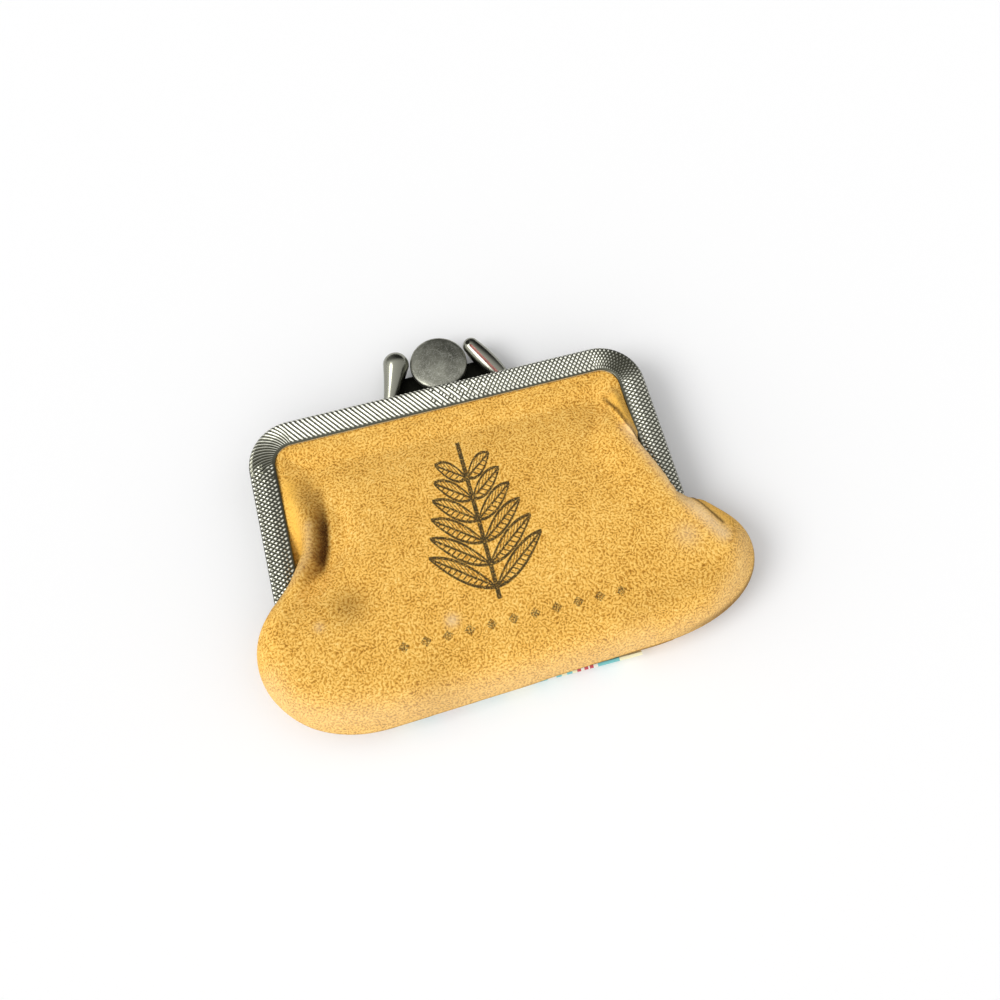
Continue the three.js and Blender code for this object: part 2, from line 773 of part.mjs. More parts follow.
// Pieces and their finishes
const finishes = {
  knurledSteel: { color: 0x6b6e6e, roughness: 0.38, metalness: 1 },
  polishedNickel: { color: 0x6f6c64, roughness: 0.25, metalness: 1 },
  satinNickel: { color: 0x8b8a84, roughness: 0.42, metalness: 1 },
  suede: { color: 0xc8913f, roughness: 0.95, metalness: 0 },
  wovenTape: { color: 0xe9e2cf, roughness: 0.8, metalness: 0 },
  paper: { color: 0xb49a6c, roughness: 0.9, metalness: 0 },
};

const purse = new THREE.Group();

function addPiece(name, geometry, finish) {
  const mesh = new THREE.Mesh(geometry, new THREE.MeshStandardMaterial(finishes[finish]));
  mesh.name = name;
  purse.add(mesh);
}

const prongFeet = [claspOffset - leftProng.spread, claspOffset + rightProng.spread];
const frontSteps = 50;
const backSteps = 36;
addPiece("front_frame", frameHalf(0, [claspOffset]), "knurledSteel");
addPiece("back_frame", mirroredToBack(frameHalf(earInset, prongFeet)), "knurledSteel");
addPiece("hinge_rivet_left", hingeRivet(-1), "polishedNickel");
addPiece("hinge_rivet_right", hingeRivet(1), "polishedNickel");
addPiece("clasp_disc", claspDisc(), "satinNickel");
addPiece("clasp_prong_left", claspProng(-1, leftProng), "polishedNickel");
addPiece("clasp_prong_right", claspProng(1, rightProng), "polishedNickel");
addPiece("front_packing_cord", packingCord(), "paper");
addPiece("back_packing_cord", mirroredToBack(packingCord()), "paper");
const frontShares = [0.14, 0.28, 0.42, 0.56, 0.7, 0.85];
const backShares = [0.3, 0.85];
addPiece("front_panel", suedePanel(frontCut, frontLevel, foldAt, frontSteps, frontShares), "suede");
const backShell = suedePanel(backCut, () => backLevel, plainAt, backSteps, backShares);
addPiece("back_panel", mirroredToBack(backShell), "suede");
addPiece("woven_band", wovenBand(), "wovenTape");

// Origin under the middle of the whole purse
const whole = new THREE.Box3().setFromObject(purse, true);
const centre = whole.getCenter(new THREE.Vector3());
for (const mesh of purse.children) {
  mesh.position.set(-centre.x, -centre.y, -whole.min.z);
}

export default purse;
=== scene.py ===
# %% [markdown]
# # A kiss-lock coin purse
# The purse is a pouch of golden suede in a hinged metal frame, and it lies on its back on a pale
# table. The solids of the frame, the clasp and the pouch come in ready and at their real size. This
# lesson dresses them: fine suede with its nap, folds and rubbed places, a knurled frame, a worn
# clasp and a striped woven band. Every piece is tied to the half of the frame that carries it, so
# that the purse can still be opened.

# %% Load the solids and the box that holds them
import math

import bmesh
import bpy
import numpy as np
from mathutils import Matrix, Vector


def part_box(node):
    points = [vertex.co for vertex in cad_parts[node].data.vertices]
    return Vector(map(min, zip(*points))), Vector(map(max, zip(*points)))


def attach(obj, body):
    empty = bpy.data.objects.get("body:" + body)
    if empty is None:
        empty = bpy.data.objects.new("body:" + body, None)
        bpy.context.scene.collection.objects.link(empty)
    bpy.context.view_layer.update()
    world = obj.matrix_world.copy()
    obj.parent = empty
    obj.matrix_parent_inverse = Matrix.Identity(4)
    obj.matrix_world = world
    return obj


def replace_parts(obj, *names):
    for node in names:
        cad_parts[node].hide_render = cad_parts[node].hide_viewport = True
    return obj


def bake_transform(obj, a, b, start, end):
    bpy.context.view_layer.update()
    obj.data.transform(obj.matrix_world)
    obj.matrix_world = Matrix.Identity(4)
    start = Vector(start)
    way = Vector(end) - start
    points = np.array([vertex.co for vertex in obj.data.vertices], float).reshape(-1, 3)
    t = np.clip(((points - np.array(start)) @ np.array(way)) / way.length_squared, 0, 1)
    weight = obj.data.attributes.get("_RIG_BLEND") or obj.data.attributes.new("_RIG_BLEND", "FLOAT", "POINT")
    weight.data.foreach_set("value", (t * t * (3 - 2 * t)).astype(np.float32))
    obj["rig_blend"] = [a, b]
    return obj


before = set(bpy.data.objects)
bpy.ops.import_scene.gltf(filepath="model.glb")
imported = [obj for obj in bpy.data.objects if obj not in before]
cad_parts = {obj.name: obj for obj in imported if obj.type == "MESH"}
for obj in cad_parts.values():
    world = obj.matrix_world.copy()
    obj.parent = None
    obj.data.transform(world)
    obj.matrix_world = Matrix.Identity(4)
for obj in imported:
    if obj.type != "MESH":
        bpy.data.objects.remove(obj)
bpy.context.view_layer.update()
MM = 0.001

# %% [markdown]
# ## Places on the purse
# A maker measures from the frame: sideways from the middle of its top bar, and down from the outer
# edge of that bar. The frame's own box gives both, so one small function can turn such a place, in
# millimetres, into a point of the scene. Heights are counted from the table.

# %% Measure from the frame
frame_low, frame_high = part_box("front_frame")
middle_x = (frame_low.x + frame_high.x) / 2
top_edge = frame_high.y
half_depth = frame_high.z / 2 / MM
half_width = (frame_high.x - frame_low.x) / 2 / MM


def spot(x, y, z):
    """A place in millimetres from the middle of the top edge and from the table, as a point."""
    return Vector((middle_x + x * MM, top_edge + y * MM, z * MM))


def from_frame(points):
    """Points of the scene as millimetres from the middle of the top edge and from the table."""
    return (np.asarray(points) - np.array(spot(0, 0, 0))) / MM


print("frame", round(2 * half_width, 1), "mm wide, halves meet", round(half_depth, 2), "mm up")

# %% [markdown]
# ## Camera
# The picture was taken by hand from above the bottom of the pouch, with the purse turned a little
# in the view. A camera of normal angle at the same place shows the same perspective: the bar near
# the clasp is a little smaller than the bottom of the pouch.

# %% Place the camera
CAMERA_PLACE, CAMERA_TURN = (-9.1, -86.3, 180.5), (20.116, 0.549, -14.764)
camera_data = bpy.data.cameras.new("camera")
camera_data.sensor_width = 36
camera_data.lens = 36
camera = bpy.data.objects.new("camera", camera_data)
camera.location = spot(*CAMERA_PLACE)
camera.rotation_euler = [math.radians(a) for a in CAMERA_TURN]
camera_data.clip_start = 0.01
bpy.context.scene.collection.objects.link(camera)
bpy.context.scene.camera = camera
bpy.context.scene.view_settings.view_transform = "Standard"
print("camera", [round(c, 4) for c in camera.location])

# %% [markdown]
# ## Colours and nodes
# Colours are written as on a paint chart, in sRGB hex, and one function turns them into the linear
# values that the renderer works with. Another small function adds a node with its settings and
# links, so that a material reads as a list of steps.


# %% Colour and node helpers
def paint(code):
    """sRGB hex colour as linear RGBA."""
    channels = [int(code[i : i + 2], 16) / 255 for i in (1, 3, 5)]
    linear = [c / 12.92 if c <= 0.04045 else ((c + 0.055) / 1.055) ** 2.4 for c in channels]
    return (*linear, 1.0)


def add(tree, kind, *values, out=0, stops=(), **settings):
    """Adds a node and gives one of its outputs. A kind in capitals is an operation of the Math node.
    Values go to the inputs in their order: numbers, colours or outputs of other nodes. Settings are
    properties of the node or named inputs, and stops are the (position, colour) stops of a ramp."""
    if kind.isupper():
        kind, settings["operation"] = "Math", kind
    node = tree.nodes.new("ShaderNode" + kind)
    named = {key: settings.pop(key) for key in list(settings) if not hasattr(node, key)}
    for key, value in settings.items():
        setattr(node, key, value)
    sockets = [socket for socket in node.inputs if socket.enabled][: len(values)]
    sockets += [node.inputs[key.replace("_", " ")] for key in named]
    for socket, value in zip(sockets, [*values, *named.values()]):
        if isinstance(value, bpy.types.NodeSocket):
            tree.links.new(value, socket)
        else:
            socket.default_value = value
    for number, (position, code) in enumerate(stops):
        elements = node.color_ramp.elements
        element = elements[number] if number < len(elements) else elements.new(position)
        element.position = position
        element.color = paint(code)
    shown = [socket for socket in node.outputs if socket.enabled]
    return shown[out] if isinstance(out, int) else node.outputs[out]


def new_material(name, **constants):
    """A material with one shader, and the constants set on the shader's own sockets."""
    material = bpy.data.materials.new(name)
    material.use_nodes = True
    shader = material.node_tree.nodes["Principled BSDF"]
    for key, value in constants.items():
        shader.inputs[key.replace("_", " ")].default_value = value
    return material, material.node_tree, shader


print("golden suede as linear colour:", [round(c, 3) for c in paint("#E0A64E")])

# %% [markdown]
# ## Suede
# Suede is the flesh side of a hide, sanded until its fibres stand up as a nap. The nap lies in short
# curled strokes about a millimetre long, so the surface is mottled and has no gloss. Rubbed folds
# turn pale. Hollows, creases and the edges at the seam are painted brown for their shade, with some
# dirt, and the strips beside the frame are painted a lighter orange for light. The pattern is laid
# out in millimetres of the pouch at rest, which every point of the panel keeps, so that it bends
# with the suede when the purse is opened.
# Single fibres are finer than the picture can show, so they are drawn a fifth of a millimetre wide.

# %% Print on the front panel
SPRIG_X, SPRIG_Y, SPRIG_HEIGHT = 0.4, -44.0, 31.5
LEAF_RISE, LEAF_PITCH, LEAF_ROWS = math.radians(38), 4.3, 6
LEAF_LENGTH, LEAF_TAPER, LEAF_HALF = 13.0, 1.3, 1.45
STEM_LINE, RIB_LINE, LEAF_LINE, VEIN_LINE, VEIN_SLANT = 0.4, 0.2, 0.24, 0.13, 1.1
ROW_Y, ROW_LEFT, ROW_RIGHT, ROW_PITCH, ROW_MARGIN, DIAMOND = -48.0, -17.5, 21.0, 3.85, 1.5, 1.0
INK_EDGE, INK_SHARE, ROW_SHARE = 9.0, 0.95, 0.9
SPRIG_HELD, ROW_HELD = (0.3, 6.0), (0.42, 7.0)


def inked(tree, distance, half):
    """Ink of a line of that half width along distance = 0, in mm, with a soft edge."""
    depth = add(tree, "SUBTRACT", half, add(tree, "ABSOLUTE", distance))
    return add(tree, "MULTIPLY_ADD", depth, INK_EDGE, 0.5, use_clamp=True)


def within(tree, value, low, high):
    """One where low < value < high, else nought."""
    above, under = add(tree, "GREATER_THAN", value, low), add(tree, "LESS_THAN", value, high)
    return add(tree, "MULTIPLY", above, under)


def sprig(tree, x, y):
    """Ink of a stem with pairs of veined leaves."""
    side = add(tree, "ABSOLUTE", add(tree, "SUBTRACT", x, SPRIG_X))
    up = add(tree, "SUBTRACT", y, SPRIG_Y)
    level = add(tree, "SUBTRACT", up, add(tree, "MULTIPLY", side, math.tan(LEAF_RISE)))
    steps = add(tree, "DIVIDE", level, LEAF_PITCH)
    row = add(tree, "FLOOR", steps)
    off = add(tree, "SUBTRACT", add(tree, "SUBTRACT", steps, row), 0.5)
    off = add(tree, "MULTIPLY", off, LEAF_PITCH * math.cos(LEAF_RISE))
    along = add(tree, "DIVIDE", side, math.cos(LEAF_RISE))
    share = add(tree, "DIVIDE", along, add(tree, "MULTIPLY_ADD", row, -LEAF_TAPER, LEAF_LENGTH))
    swell = add(tree, "MULTIPLY", share, add(tree, "SUBTRACT", 1.0, share))
    away = add(tree, "ABSOLUTE", off)
    edge = add(tree, "SUBTRACT", away, add(tree, "MULTIPLY", swell, 4 * LEAF_HALF))
    vein = add(tree, "FRACT", add(tree, "MULTIPLY_ADD", away, -VEIN_SLANT, along))
    veins = inked(tree, add(tree, "SUBTRACT", vein, 0.5), VEIN_LINE)
    lines = add(tree, "MAXIMUM", inked(tree, off, RIB_LINE), veins)
    lines = add(tree, "MULTIPLY", lines, add(tree, "LESS_THAN", edge, 0.0))
    leaf = add(tree, "MAXIMUM", lines, inked(tree, edge, LEAF_LINE))
    leaf = add(tree, "MULTIPLY", leaf, within(tree, row, -0.5, LEAF_ROWS - 0.5))
    leaf = add(tree, "MULTIPLY", leaf, add(tree, "LESS_THAN", share, 1.0))
    stem = add(tree, "MULTIPLY", inked(tree, side, STEM_LINE), within(tree, up, 0.0, SPRIG_HEIGHT))
    return add(tree, "MAXIMUM", leaf, stem)


def diamond_row(tree, x, y):
    """Ink of a row of small diamonds below the sprig."""
    along = add(tree, "PINGPONG", add(tree, "SUBTRACT", x, ROW_LEFT), ROW_PITCH / 2)
    reach = add(tree, "ADD", along, add(tree, "ABSOLUTE", add(tree, "SUBTRACT", y, ROW_Y)))
    in_row = within(tree, x, ROW_LEFT - ROW_MARGIN, ROW_RIGHT + ROW_MARGIN)
    return add(tree, "MULTIPLY", inked(tree, reach, DIAMOND), in_row)


def faded_print(tree, place, fibres):
    """Ink of the whole print, missing where fibres have risen through it."""
    x = add(tree, "SeparateXYZ", place)
    y = x.node.outputs[1]
    held = []
    for level, gain in (SPRIG_HELD, ROW_HELD):
        held.append(add(tree, "MULTIPLY", add(tree, "SUBTRACT", fibres, level), gain, use_clamp=True))
    border = add(tree, "MULTIPLY", add(tree, "MULTIPLY", diamond_row(tree, x, y), held[1]), ROW_SHARE)
    ink = add(tree, "MAXIMUM", add(tree, "MULTIPLY", sprig(tree, x, y), held[0]), border)
    return add(tree, "MULTIPLY", ink, add(tree, "Attribute", out="Fac", attribute_name="outside"))


print("print:", LEAF_ROWS, "pairs of leaves and a row", ROW_RIGHT - ROW_LEFT, "mm long")

# %% Suede material
NAP = ((0.5, 1.3, 0.0), (0.72, 1.7, 40.0))
FIBRE, CLUMP, PATCH, CURL = 0.22, 1.2, 7.5, 1.4
NAP_CONTRAST, NAP_LEVEL, NAP_SHARE = 3.8, -3.2, 0.42
LOOSE_SHARE, LOOSE_LEVEL = 0.55, 0.3
HEIGHT_SHARE, PATCH_SHARE, PATCH_LEVEL = 0.82, 0.24, -0.03
NAP_STRENGTH, NAP_DEPTH = 0.4, 0.0002
SUEDE_SHADES = [(0.1, "#835412"), (0.3, "#C88F36"), (0.5, "#EDB654"), (0.7, "#FFCF6F"),
                (0.9, "#FFE298")]
# unfaded orange painted lighter for light, pale rubbed suede, brown for painted shade with some dirt, and
# ink
UNFADED_AND_LIT, RUBBED, SHADE_AND_DIRT, INK = "#FFC658", "#E6CAA0", "#472400", "#23251C"


def suede_material(name, printed):
    """Napped leather without gloss: strokes of nap, fine fibres and broad patches of another tone."""
    material, tree, shader = new_material(
        name, Roughness=0.95, Specular_IOR_Level=0.12, Sheen_Weight=0.12, Sheen_Roughness=0.6,
        Sheen_Tint=paint("#FFE2A8"))
    place = add(tree, "Attribute", out="Vector", attribute_name="rest")
    flat = add(tree, "Attribute", out="Vector", attribute_name="flat")
    clumps = add(tree, "TexNoise", flat, Scale=1 / CLUMP, Detail=2.0, Roughness=0.6, Distortion=0.5)
    curled = add(tree, "VectorMath", clumps.node.outputs["Color"], (CURL, CURL, 0), flat,
                 operation="MULTIPLY_ADD")
    strokes = 0.0
    for width, length, shift in NAP:
        moved = add(tree, "Mapping", curled, Location=(shift, shift, 0))
        layer = add(tree, "TexGabor", moved, Scale=1 / length, Frequency=length / width, Anisotropy=0.0)
        strokes = add(tree, "ADD", layer, strokes)
    fibres = add(tree, "TexNoise", place, Scale=1 / FIBRE, Detail=3.0, Roughness=0.6, Distortion=0.5)
    patches = add(tree, "TexNoise", place, Scale=1 / PATCH, Detail=3.0, Roughness=0.6)
    nap = add(tree, "MULTIPLY_ADD", strokes, NAP_CONTRAST, NAP_LEVEL, use_clamp=True)
    loose = add(tree, "MULTIPLY_ADD", clumps, LOOSE_SHARE, add(tree, "MULTIPLY", fibres, LOOSE_SHARE))
    height = add(tree, "MULTIPLY_ADD", nap, NAP_SHARE, add(tree, "SUBTRACT", loose, LOOSE_LEVEL))
    broad = add(tree, "MULTIPLY_ADD", patches, PATCH_SHARE, PATCH_LEVEL)
    tone = add(tree, "MULTIPLY_ADD", height, HEIGHT_SHARE, broad)
    colour = add(tree, "ValToRGB", tone, stops=SUEDE_SHADES)
    # the unfaded orange is painted lighter for light, and the brown is painted shade with some dirt
    # mark, how far it follows a pattern, that pattern, its least amount, and its colour
    wear = (("glow", 0.4, nap, 0.6, UNFADED_AND_LIT), ("rubbed", 0.9, fibres, 0.25, RUBBED),
            ("soiled", 1.0, fibres, 0.5, SHADE_AND_DIRT))
    for mark, share, pattern, least, code in wear:
        amount = add(tree, "Attribute", out="Fac", attribute_name=mark)
        uneven = add(tree, "MULTIPLY_ADD", pattern, share, least)
        factor = add(tree, "MULTIPLY", amount, uneven, use_clamp=True)
        colour = add(tree, "Mix", factor, colour, paint(code), data_type="RGBA")
    if printed:
        ink = add(tree, "MULTIPLY", faded_print(tree, place, fibres), INK_SHARE)
        colour = add(tree, "Mix", ink, colour, paint(INK), data_type="RGBA")
    tree.links.new(colour, shader.inputs["Base Color"])
    bump = add(tree, "Bump", Height=height, Strength=NAP_STRENGTH, Distance=NAP_DEPTH)
    tree.links.new(bump, shader.inputs["Normal"])
    return material


suede_front = suede_material("suede_front", True)
suede_back = suede_material("suede_back", False)
print("suede nodes:", len(suede_front.node_tree.nodes))

# %% [markdown]
# ## Panels of the pouch
# The two panels are cut flat, sewn together along the bottom and gripped in the frame, and that
# draws the front one into folds. The solids already have these folds, in coarse facets. A copy is
# smoothed, cut into small even cells and then relaxed a little, so that it bends like soft leather.

# %% Make fine panels from the solids
FRONT_CELL, BACK_CELL = 0.36, 0.5
QUAD_ANGLE, RELAX_STEPS = 0.7, 6


def cad_copy(node):
    """Mesh of a solid with its doubled points merged."""
    mesh = bmesh.new()
    mesh.from_mesh(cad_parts[node].data)
    bmesh.ops.remove_doubles(mesh, verts=mesh.verts, dist=1e-6)
    return mesh


def finished(name, mesh, material, smooth=True):
    """Object made from a bmesh, at the origin. With None for smooth, its faces keep their own shading."""
    data = bpy.data.meshes.new(name)
    bmesh.ops.recalc_face_normals(mesh, faces=mesh.faces)
    mesh.to_mesh(data)
    mesh.free()
    if smooth is not None:
        data.polygons.foreach_set("use_smooth", [smooth] * len(data.polygons))
    data.materials.append(material)
    piece = bpy.data.objects.new(name, data)
    bpy.context.scene.collection.objects.link(piece)
    return piece


def baked(piece):
    """The piece with its modifiers applied."""
    graph = bpy.context.evaluated_depsgraph_get()
    data = bpy.data.meshes.new_from_object(piece.evaluated_get(graph))
    piece.modifiers.clear()
    piece.data = data
    return piece


def soft_panel(name, node, cell, material):
    """Fine even mesh on the form of a suede solid."""
    mesh = cad_copy(node)
    bmesh.ops.join_triangles(mesh, faces=mesh.faces, angle_face_threshold=QUAD_ANGLE,
                             angle_shape_threshold=QUAD_ANGLE)
    piece = finished(name, mesh, material)
    curve = piece.modifiers.new("rounded", "SUBSURF")
    curve.levels = curve.render_levels = 2
    even = piece.modifiers.new("even_cells", "REMESH")
    even.mode = "VOXEL"
    even.voxel_size = cell * MM
    even.use_smooth_shade = True
    relaxed = piece.modifiers.new("relaxed", "SMOOTH")
    relaxed.factor = 0.5
    relaxed.iterations = RELAX_STEPS
    return baked(piece)


def half_skin(piece):
    """Area of one side of a thin closed shell, in square metres."""
    return sum(polygon.area for polygon in piece.data.polygons) / 2


def points_of(data):
    """Points of a mesh in millimetres from the frame."""
    points = np.zeros(len(data.vertices) * 3)
    data.vertices.foreach_get("co", points)
    return from_frame(points.reshape(-1, 3))


def move_points(data, offsets):
    """Moves the points of a mesh by offsets in millimetres."""
    points = (points_of(data) + offsets) * MM + np.array(spot(0, 0, 0))
    data.vertices.foreach_set("co", points.ravel())
    data.update()


front_panel = soft_panel("suede_front_panel", "front_panel", FRONT_CELL, suede_front)
back_panel = soft_panel("suede_back_panel", "back_panel", BACK_CELL, suede_back)
for panel in (front_panel, back_panel):
    one_side = round(half_skin(panel) / MM**2)
    print(panel.name, len(panel.data.polygons), "cells, one side", one_side, "square mm")

# %% [markdown]
# ## Folds
# Where the frame squeezes the suede it rolls into folds. The left one is a soft roll with a deep
# shaded groove beside it, the right one a crease whose edge has slipped over the arm. They are
# pressed in by moving the points of the fine mesh by their distance from a few lines, with lifts and
# reaches in millimetres. A pair of numbers gives the start and the end of a smooth step.

# %% Lines of the folds
RIGHT_CREASE = [(29.0, -9.5), (30.7, -14.5), (31.9, -18.4), (33.2, -22.0), (38.2, -33.4),
                (42.2, -40.5)]
RIGHT_FOLD = [(31.7, -14), (32.2, -17), (32.7, -19), (33.2, -21), (33.7, -23), (34.2, -25)]
RIGHT_STRIP = [(31.5, -10.5), (32.3, -15), (32.9, -19)]
RIGHT_LAP = [(33.0, -21.0), (33.6, -25), (34.2, -28), (35.0, -32), (37.0, -35)]
LEFT_RIDGE = [(-28.0, -13), (-28.0, -16.4), (-29.0, -22.4), (-30.0, -27.5), (-31.9, -29.7),
              (-38.4, -34.3)]
LEFT_GROOVE = [(-26.7, -13), (-26.2, -18), (-26.4, -22.7), (-27.1, -26.4), (-28.5, -29.9),
               (-33.5, -33.4)]
DIMPLE, LOBE_TOP = (-24.5, -37.8), (40.6, -34.8)


def from_line(points, line):
    """Distance of points from a line of (x, y) places, share of the way along it, and side of it."""
    nearest = np.full(len(points), 1e9)
    share = np.zeros(len(points))
    side = np.ones(len(points))
    for number, ((ax, ay), (bx, by)) in enumerate(zip(line, line[1:])):
        step = np.array([bx - ax, by - ay])
        offset = points[:, :2] - np.array([ax, ay])
        part = np.clip(offset @ step / (step @ step), 0, 1)
        distance = np.linalg.norm(offset - part[:, None] * step, axis=1)
        closer = distance < nearest
        nearest = np.where(closer, distance, nearest)
        share = np.where(closer, (number + part) / (len(line) - 1), share)
        side = np.where(closer, np.sign(step[0] * offset[:, 1] - step[1] * offset[:, 0]), side)
    return nearest, share, side


def from_spot(points, spot_xy):
    """Distance of points from one (x, y) place."""
    return np.hypot(points[:, 0] - spot_xy[0], points[:, 1] - spot_xy[1])


def bell(distance, reach):
    """One at nought, falling away well past reach."""
    return np.exp(-((distance / reach) ** 2))


def rise(value, low, high):
    """Smooth step from nought at low to one at high."""
    share = np.clip((value - low) / (high - low), 0, 1)
    return share * share * (3 - 2 * share)


def fall(value, low, high):
    """Smooth step from one at low to nought at high."""
    return 1 - rise(value, low, high)


print("places on the left ridge:", len(LEFT_RIDGE), "and on the right crease:", len(RIGHT_CREASE))

# %% Press the folds into the front panel
BAR = 5.0
RIDGE_LIFT, RIDGE_REACH, RIDGE_START = 0.5, 1.1, (0.05, 0.4)
GROOVE_DEPTH, GROOVE_REACH, GROOVE_START, GROOVE_END = 1.7, 1.1, (0.1, 0.4), (0.65, 1.0)
DIMPLE_DEPTH, DIMPLE_REACH = 0.45, 3.0
CREASE_LIFT, CREASE_LIFT_REACH, CREASE_DEPTH, CREASE_REACH = 0.35, 1.6, 0.4, 0.8
CREASE_START, CREASE_END, CREASE_LEVEL = (0.0, 0.2), (0.85, 1.0), (9.0, 10.5)
FOLD_SIDE, FOLD_X, FOLD_DROP = (-0.5, 1.0), (20.0, 26.0), (10.0, 14.0)
LIP_LIFT, LIP_INSIDE, LIP_DROP = 1.15, (1.5, 6.0), (20.0, 27.0)
ARM_LIFT, ARM_AT, ARM_REACH, ARM_X, ARM_DROP = 0.4, 0.9, 1.1, (20.0, 30.0), (24.0, 29.0)
STRIP_LIFT, STRIP_REACH = 0.7, 1.0
LAP_LEAST, LAP_GAIN, LAP_REACH, LAP_DROP, LAP_LEVEL = 0.1, 1.8, 2.2, (32.0, 35.5), (9.8, 11.0)
DRAWN, DRAWN_REACH, DRAWN_START, DRAWN_END = 1.0, 1.3, (11.0, 14.0), (17.0, 26.0)
DRAWN_LEVEL = (10.1, 10.8)
HEM_PULL, HEM_DROP, HEM_FREE, HEM_X = 0.2, (51.0, 56.5), 0.8, (2.0, 7.0)
LOBE_LIFT, LOBE_REACH, LOBE_LEVEL = 0.7, 2.4, (5.0, 7.0)


def press_folds(data):
    """Presses the left fold, the right crease and its lap over the arm, and lifts the suede to the lip."""
    place = points_of(data)
    x, drop, height = place[:, 0], -place[:, 1], place[:, 2]
    ridge, ridge_share, _ = from_line(place, LEFT_RIDGE)
    groove, groove_share, _ = from_line(place, LEFT_GROOVE)
    crease, crease_share, crease_side = from_line(place, RIGHT_CREASE)
    lift = RIDGE_LIFT * bell(ridge, RIDGE_REACH) * rise(ridge_share, *RIDGE_START)
    deep = rise(groove_share, *GROOVE_START) * fall(groove_share, *GROOVE_END)
    lift -= GROOVE_DEPTH * bell(groove, GROOVE_REACH) * deep
    lift -= DIMPLE_DEPTH * bell(from_spot(place, DIMPLE), DIMPLE_REACH)
    ends = rise(crease_share, *CREASE_START) * fall(crease_share, *CREASE_END)
    raised = CREASE_LIFT * bell(crease, CREASE_LIFT_REACH)
    sunk = -CREASE_DEPTH * bell(crease, CREASE_REACH)
    lift += np.where(crease_side < 0, raised, sunk) * ends * rise(height, *CREASE_LEVEL)
    inside = np.minimum(half_width - BAR - np.abs(x), drop - BAR)
    on_fold = rise(-crease_side * crease, *FOLD_SIDE) * rise(x, *FOLD_X) * rise(drop, *FOLD_DROP)
    lift += LIP_LIFT * fall(inside, *LIP_INSIDE) * fall(drop, *LIP_DROP) * (1 - on_fold)
    lift += ARM_LIFT * bell(inside - ARM_AT, ARM_REACH) * rise(-x, *ARM_X) * fall(drop, *ARM_DROP)
    lift += STRIP_LIFT * bell(from_line(place, RIGHT_STRIP)[0], STRIP_REACH)
    lap, lap_share, _ = from_line(place, RIGHT_LAP)
    over = (LAP_LEAST + LAP_GAIN * lap_share) * bell(lap, LAP_REACH) * fall(drop, *LAP_DROP)
    over *= rise(height, *LAP_LEVEL)
    drawn = rise(drop, *DRAWN_START) * fall(drop, *DRAWN_END) * rise(height, *DRAWN_LEVEL)
    over -= DRAWN * bell(from_line(place, RIGHT_FOLD)[0], DRAWN_REACH) * drawn
    hem = rise(drop, *HEM_DROP) * (1 - HEM_FREE * rise(x, *HEM_X))
    up = LOBE_LIFT * bell(from_spot(place, LOBE_TOP), LOBE_REACH) * rise(height, *LOBE_LEVEL)
    up -= HEM_PULL * hem
    move_points(data, np.stack([over, up, lift], axis=1))


press_folds(front_panel.data)
print("folds pressed into", len(front_panel.data.vertices), "points")

# %% [markdown]
# ## Wear, painted shade and painted light on the suede
# Years in a pocket mark the places that stand out: the folds over the arms are rubbed pale. Their
# hollows, the crease on the right and the lower edges at the seam are painted brown, mostly for
# their shade, with some dirt. The strips beside the frame, which nothing touches, have kept a strong
# orange, and are painted lighter still for light. Each point of the panel stores how much of each it
# has, from its distance to the lines of the folds. It also stores where it would lie with the rolled
# sides spread out, for the nap.

# %% Store place and wear on the points
RIGHT_RUB = [(31.6, -19), (34.6, -27), (38.0, -36), (41.5, -42.5)]
RIGHT_EDGE = [(45.5, -44), (43, -50), (36, -56), (24, -58)]
LOWER_EDGE = [(-41.5, -48), (-39.0, -52.5), (-34, -56), (-22, -58.5), (0, -58.5), (24, -57.5)]
RIGHT_HOLLOW = [(21.0, -53.2), (29.0, -51.2), (38.0, -49.5)]
RUBBED_LINES = [(RIGHT_RUB, 1.5, 0.9), (RIGHT_EDGE, 2.2, 0.4), (LOWER_EDGE, 2.8, 0.45),
                (LEFT_RIDGE[2:], 0.9, 0.4)]
RUBBED_SPOTS = [((-8.5, -45.6), 1.1, 0.9), ((35.3, -41.2), 2.2, 0.5), ((-30.8, -40.9), 0.9, 0.5)]
# brown marks: painted shade by the left ridge, in the right hollow and in the dimple, with some dirt, and a
# darker patch near the bottom
SHADE_AND_DIRT_LINES = [(LEFT_RIDGE, 1.6, 0.25), (RIGHT_HOLLOW, 2.4, 0.11)]
SHADE_AND_DIRT_SPOTS = [(DIMPLE, 3.4, 0.36), ((-13.5, -56.0), 5.0, 0.14)]
# unfaded orange strips, painted lighter still for light
UNFADED_AND_LIT_LINES = [([(31.0, -12), (32.6, -18.5)], 1.4, 1.0), ([(40.5, -35), (43, -40)], 1.4, 1.0),
                 ([(-31.5, -13), (-31.8, -26)], 1.4, 1.0)]
# painted shade along the left groove, painted shadow in the right crease, and painted shade at the seam
SHADE_LEAST, SHADE_GAIN, SHADE_RIGHT, SHADE_LEFT = 0.35, 0.65, 0.7, 1.9
SHADE_START, SHADE_DEEP, SHADE_END = (0.0, 0.1), (0.15, 0.45), (0.7, 1.0)
CREASE_SHADOW, CREASE_SHADOW_REACH, CREASE_SHADOW_START = 0.9, 0.3, (0.0, 0.1)
SEAM_SHADE, SEAM_FRONT, SEAM_BACK, SEAM_DROP = 0.7, (6.0, 7.2), (2.6, 3.8), (38.0, 42.0)
SEAM_X, SEAM_FACING = (25.0, 40.0), (0.25, 0.5)
PANEL_TOP, SPREAD, SIDE_ROLL, BOTTOM_ROLL = 12.0, 0.6, (33.0, 40.0), (42.0, 50.0)
OUTSIDE_GAIN = 4


